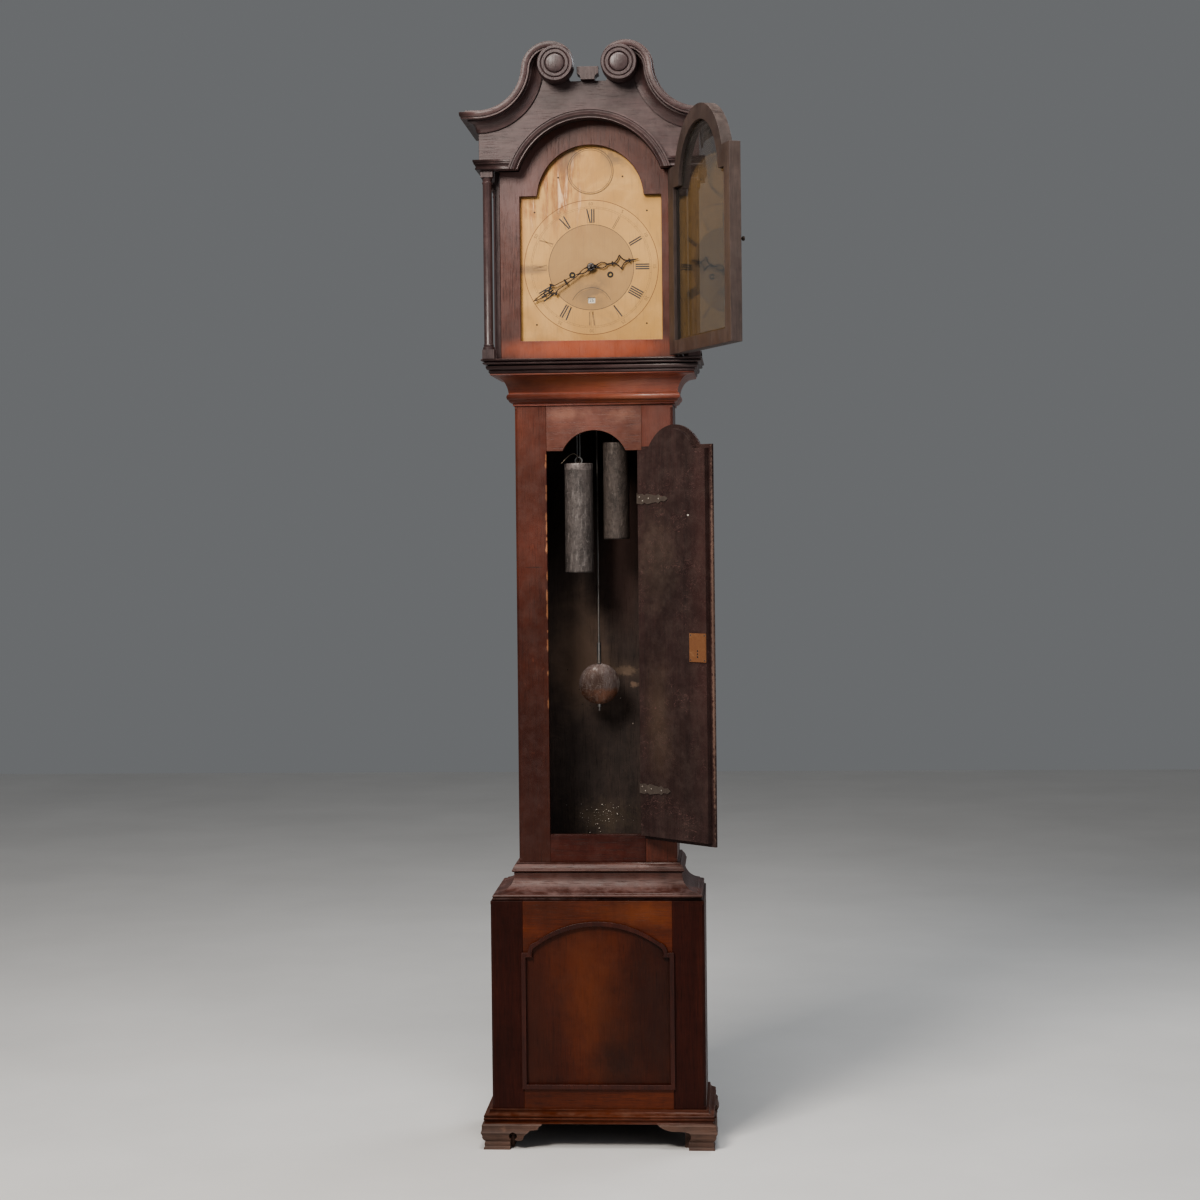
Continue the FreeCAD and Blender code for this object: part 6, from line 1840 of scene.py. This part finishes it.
@dataclass
class Rigging:
    """The lines of both weights, and the left weight's hook and frayed end."""

    finishes: dict[str, bpy.types.Material]
    fixed: float = 1.704
    axles: dict[str, float] = field(default_factory=lambda: {"left": 1.5178, "right": 1.5128})
    middle: dict[str, float] = field(default_factory=lambda: {"left": LEFT_X, "right": RIGHT_X})
    y: float = LINES_Y
    top: float = LEFT_TOP
    hook: tuple[Point, ...] = (
        (0.0, 0.0, 0.0), (-0.0036, 0.0, 0.004), (-0.0036, -0.001, 0.011), (0.0, -0.001, 0.0155),
        (0.0036, 0.0, 0.011), (0.0032, 0.0, 0.004), (-0.001, 0.0, 0.001))
    frayed: tuple[Point, ...] = (
        (-0.0012, -0.002, 0.014), (-0.007, -0.006, 0.021), (-0.014, -0.01, 0.0195),
        (-0.022, -0.016, 0.0125), (-0.0285, -0.022, 0.007), (-0.034, -0.027, -0.001))
    strands: int = 4
    stray: float = 0.0016

    def build(self) -> None:
        """Dresses the lines and makes the hook and the strand."""
        gut = self.finishes["gut"]
        for side, axle in self.axles.items():
            self._line(side, axle, gut)
        iron = self.finishes["strap_iron"]
        hook = curve_piece("left_hook", self._on_weight(self.hook))
        attach(tube_on_curve(iron).grow(hook, iron, radius=0.0011), "left_weight")
        draw = random.Random(12)
        path = self._on_weight(self.frayed)
        strands = []
        for number in range(self.strands):
            places = [tuple(c + draw.uniform(-self.stray, self.stray) * n / 3 for c in place)
                      for n, place in enumerate(path)]
            strand = curve_piece(f"frayed_strand_{number}", places[:len(places) - number % 2])
            strands.append(tube_on_curve(gut).grow(strand, gut, radius=0.0004))
        attach(joined("frayed_strands", strands), "left_weight")
        LOG.info("rigging: two lines, a hook and %d frayed strands", len(strands))

    def _on_weight(self, offsets: Sequence[Point]) -> list[Point]:
        """Places given from the middle of the left weight's top."""
        return [(self.middle["left"] + x, self.y + y, self.top + z) for x, y, z in offsets]

    def _line(self, side: str, axle: float, gut: bpy.types.Material) -> None:
        """A copy of one line that lengthens as its weight falls.

        Args:
            side: "left" or "right".
            axle: The height of the pulley's axle.
            gut: The line's finish.
        """
        node = side + "_line"
        piece = linked(node + "_piece", merged_copy(node, gut))
        x = self.middle[side]
        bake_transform(piece, "case", side + "_weight", start=(x, self.y, self.fixed), end=(x, self.y, axle))
        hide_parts(node)


@dataclass
class DoorFittings:
    """Nails in the straps, screws and the key's hole in the lock plate, and loose nails in the case."""

    finishes: dict[str, bpy.types.Material]
    pivot: tuple[float, float] = (0.0985, -0.1895)
    open_by: float = math.radians(137.0)
    back: float = -0.1731
    board_face: float = -0.016
    strap_levels: tuple[float, float] = (0.733, 1.329)
    strap_thick: float = 0.0016
    strap_nails: tuple[tuple[float, float], ...] = (
        (0.088, 0.004), (0.079, -0.004), (0.062, 0.001), (0.033, 0.0))
    lock_thick: float = 0.002
    lock_screws: tuple[tuple[float, float], ...] = (
        (-0.0945, 1.003), (-0.0945, 1.053), (-0.0555, 1.003), (-0.0555, 1.053))
    key_hole: tuple[tuple[float, float], ...] = ((-0.075, 1.0215), (-0.075, 1.0155), (-0.075, 1.0095))
    back_nails: tuple[Point, ...] = (
        (-0.017, 1.2993, 0.0028), (-0.0147, 1.215, 0.0026), (-0.0032, 1.0053, 0.0017),
        (0.0669, 0.8501, 0.0015), (-0.0142, 0.6653, 0.0014), (0.041, 0.905, 0.0011))
    crumbs: tuple[tuple[int, float], ...] = ((46, 0.0007), (22, 0.0012), (7, 0.0021))
    worm_holes: int = 34

    def _swung(self, x: float, out: float, z: float) -> tuple[Point, Point]:
        """A place and its outward direction on the open door's back.

        Args:
            x: Where it is across the shut door.
            out: How far it stands behind the door's back.
            z: Its height.

        Returns:
            The place and the direction.
        """
        turn = Matrix.Rotation(self.open_by, 3, "Z")
        place = turn @ Vector((x - self.pivot[0], self.back + out - self.pivot[1], 0.0))
        way = turn @ Vector((0.0, 1.0, 0.0))
        return (place.x + self.pivot[0], place.y + self.pivot[1], z), tuple(way)

    def _heads(self, name: str, rows: Sequence[tuple[Point, Point]], finish: str, radius: float,
               height: float, body: str) -> None:
        """Sets domed heads on places and rides them on a body.

        Args:
            name: The piece's name.
            rows: Each head's place and outward direction.
            finish: The heads' finish.
            radius: The radius of a head.
            height: How far it stands out.
            body: The body that carries the heads.
        """
        chosen = self.finishes[finish]
        points = points_piece(name, [row[0] for row in rows], [row[1] for row in rows])
        attach(heads_on_points(chosen).grow(points, chosen, radius=radius, height=height), body)

    def build(self) -> None:
        """Makes all the heads and holes."""
        straps = [self._swung(x, self.strap_thick, z + up) for z in self.strap_levels
                  for x, up in self.strap_nails]
        self._heads("strap_nails", straps, "nail", 0.0019, 0.0009, "trunk_door")
        corners = [self._swung(x, self.lock_thick, z) for x, z in self.lock_screws]
        self._heads("lock_screws", corners, "strap_iron", 0.0018, 0.0006, "trunk_door")
        slot = [self._swung(x, self.lock_thick, z) for x, z in self.key_hole]
        self._heads("key_hole", slot, "black", 0.0019, 0.00025, "trunk_door")
        for number, (x, z, radius) in enumerate(self.back_nails):
            self._heads(f"back_nail_{number}", [((x, self.board_face, z), FORWARD)], "nail", radius,
                        radius * 0.5, "case")
        self._crumbs()
        LOG.info("fittings: %d strap nails, lock screws, key hole and %d back nails", len(straps),
                 len(self.back_nails))

    def _crumbs(self) -> None:
        """Pale crumbs low on the backboard and small worm holes above them."""
        draw = random.Random(31)
        for number, (count, radius) in enumerate(self.crumbs):
            rows = [((draw.gauss(-0.003, 0.026), self.board_face, draw.gauss(0.652, 0.014)), FORWARD)
                    for _ in range(count)]
            rows = [row for row in rows if row[0][2] > 0.61]
            self._heads(f"crumbs_{number}", rows, "nail", radius, radius * 0.7, "case")
        holes = [((draw.uniform(-0.08, 0.08), self.board_face, draw.uniform(0.68, 0.98)), FORWARD)
                 for _ in range(self.worm_holes)]
        self._heads("worm_holes", holes, "black", 0.0011, 0.0002, "case")


def main() -> None:
    """Builds the clock piece by piece and lights it."""
    logging.basicConfig(level=logging.INFO, format="%(message)s")
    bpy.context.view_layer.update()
    finishes = all_finishes()
    Woodwork(finishes).build()
    Metalwork(finishes).build()
    DialWork(finishes).build()
    HandWork(finishes).build()
    LeadWeight("left_weight", finishes["left_lead"], x=LEFT_X, y=LINES_Y, low=1.178, high=LEFT_TOP,
               radius=0.0285, scar=0.004).build()
    LeadWeight("right_weight", finishes["right_lead"], x=RIGHT_X, y=LINES_Y, low=1.247, high=1.449,
               radius=0.026, scar=-0.006).build()
    PendulumBob(finishes["bob_lead"]).build()
    Rigging(finishes).build()
    DoorFittings(finishes).build()
    Studio().build()


if __name__ == "__main__":
    main()
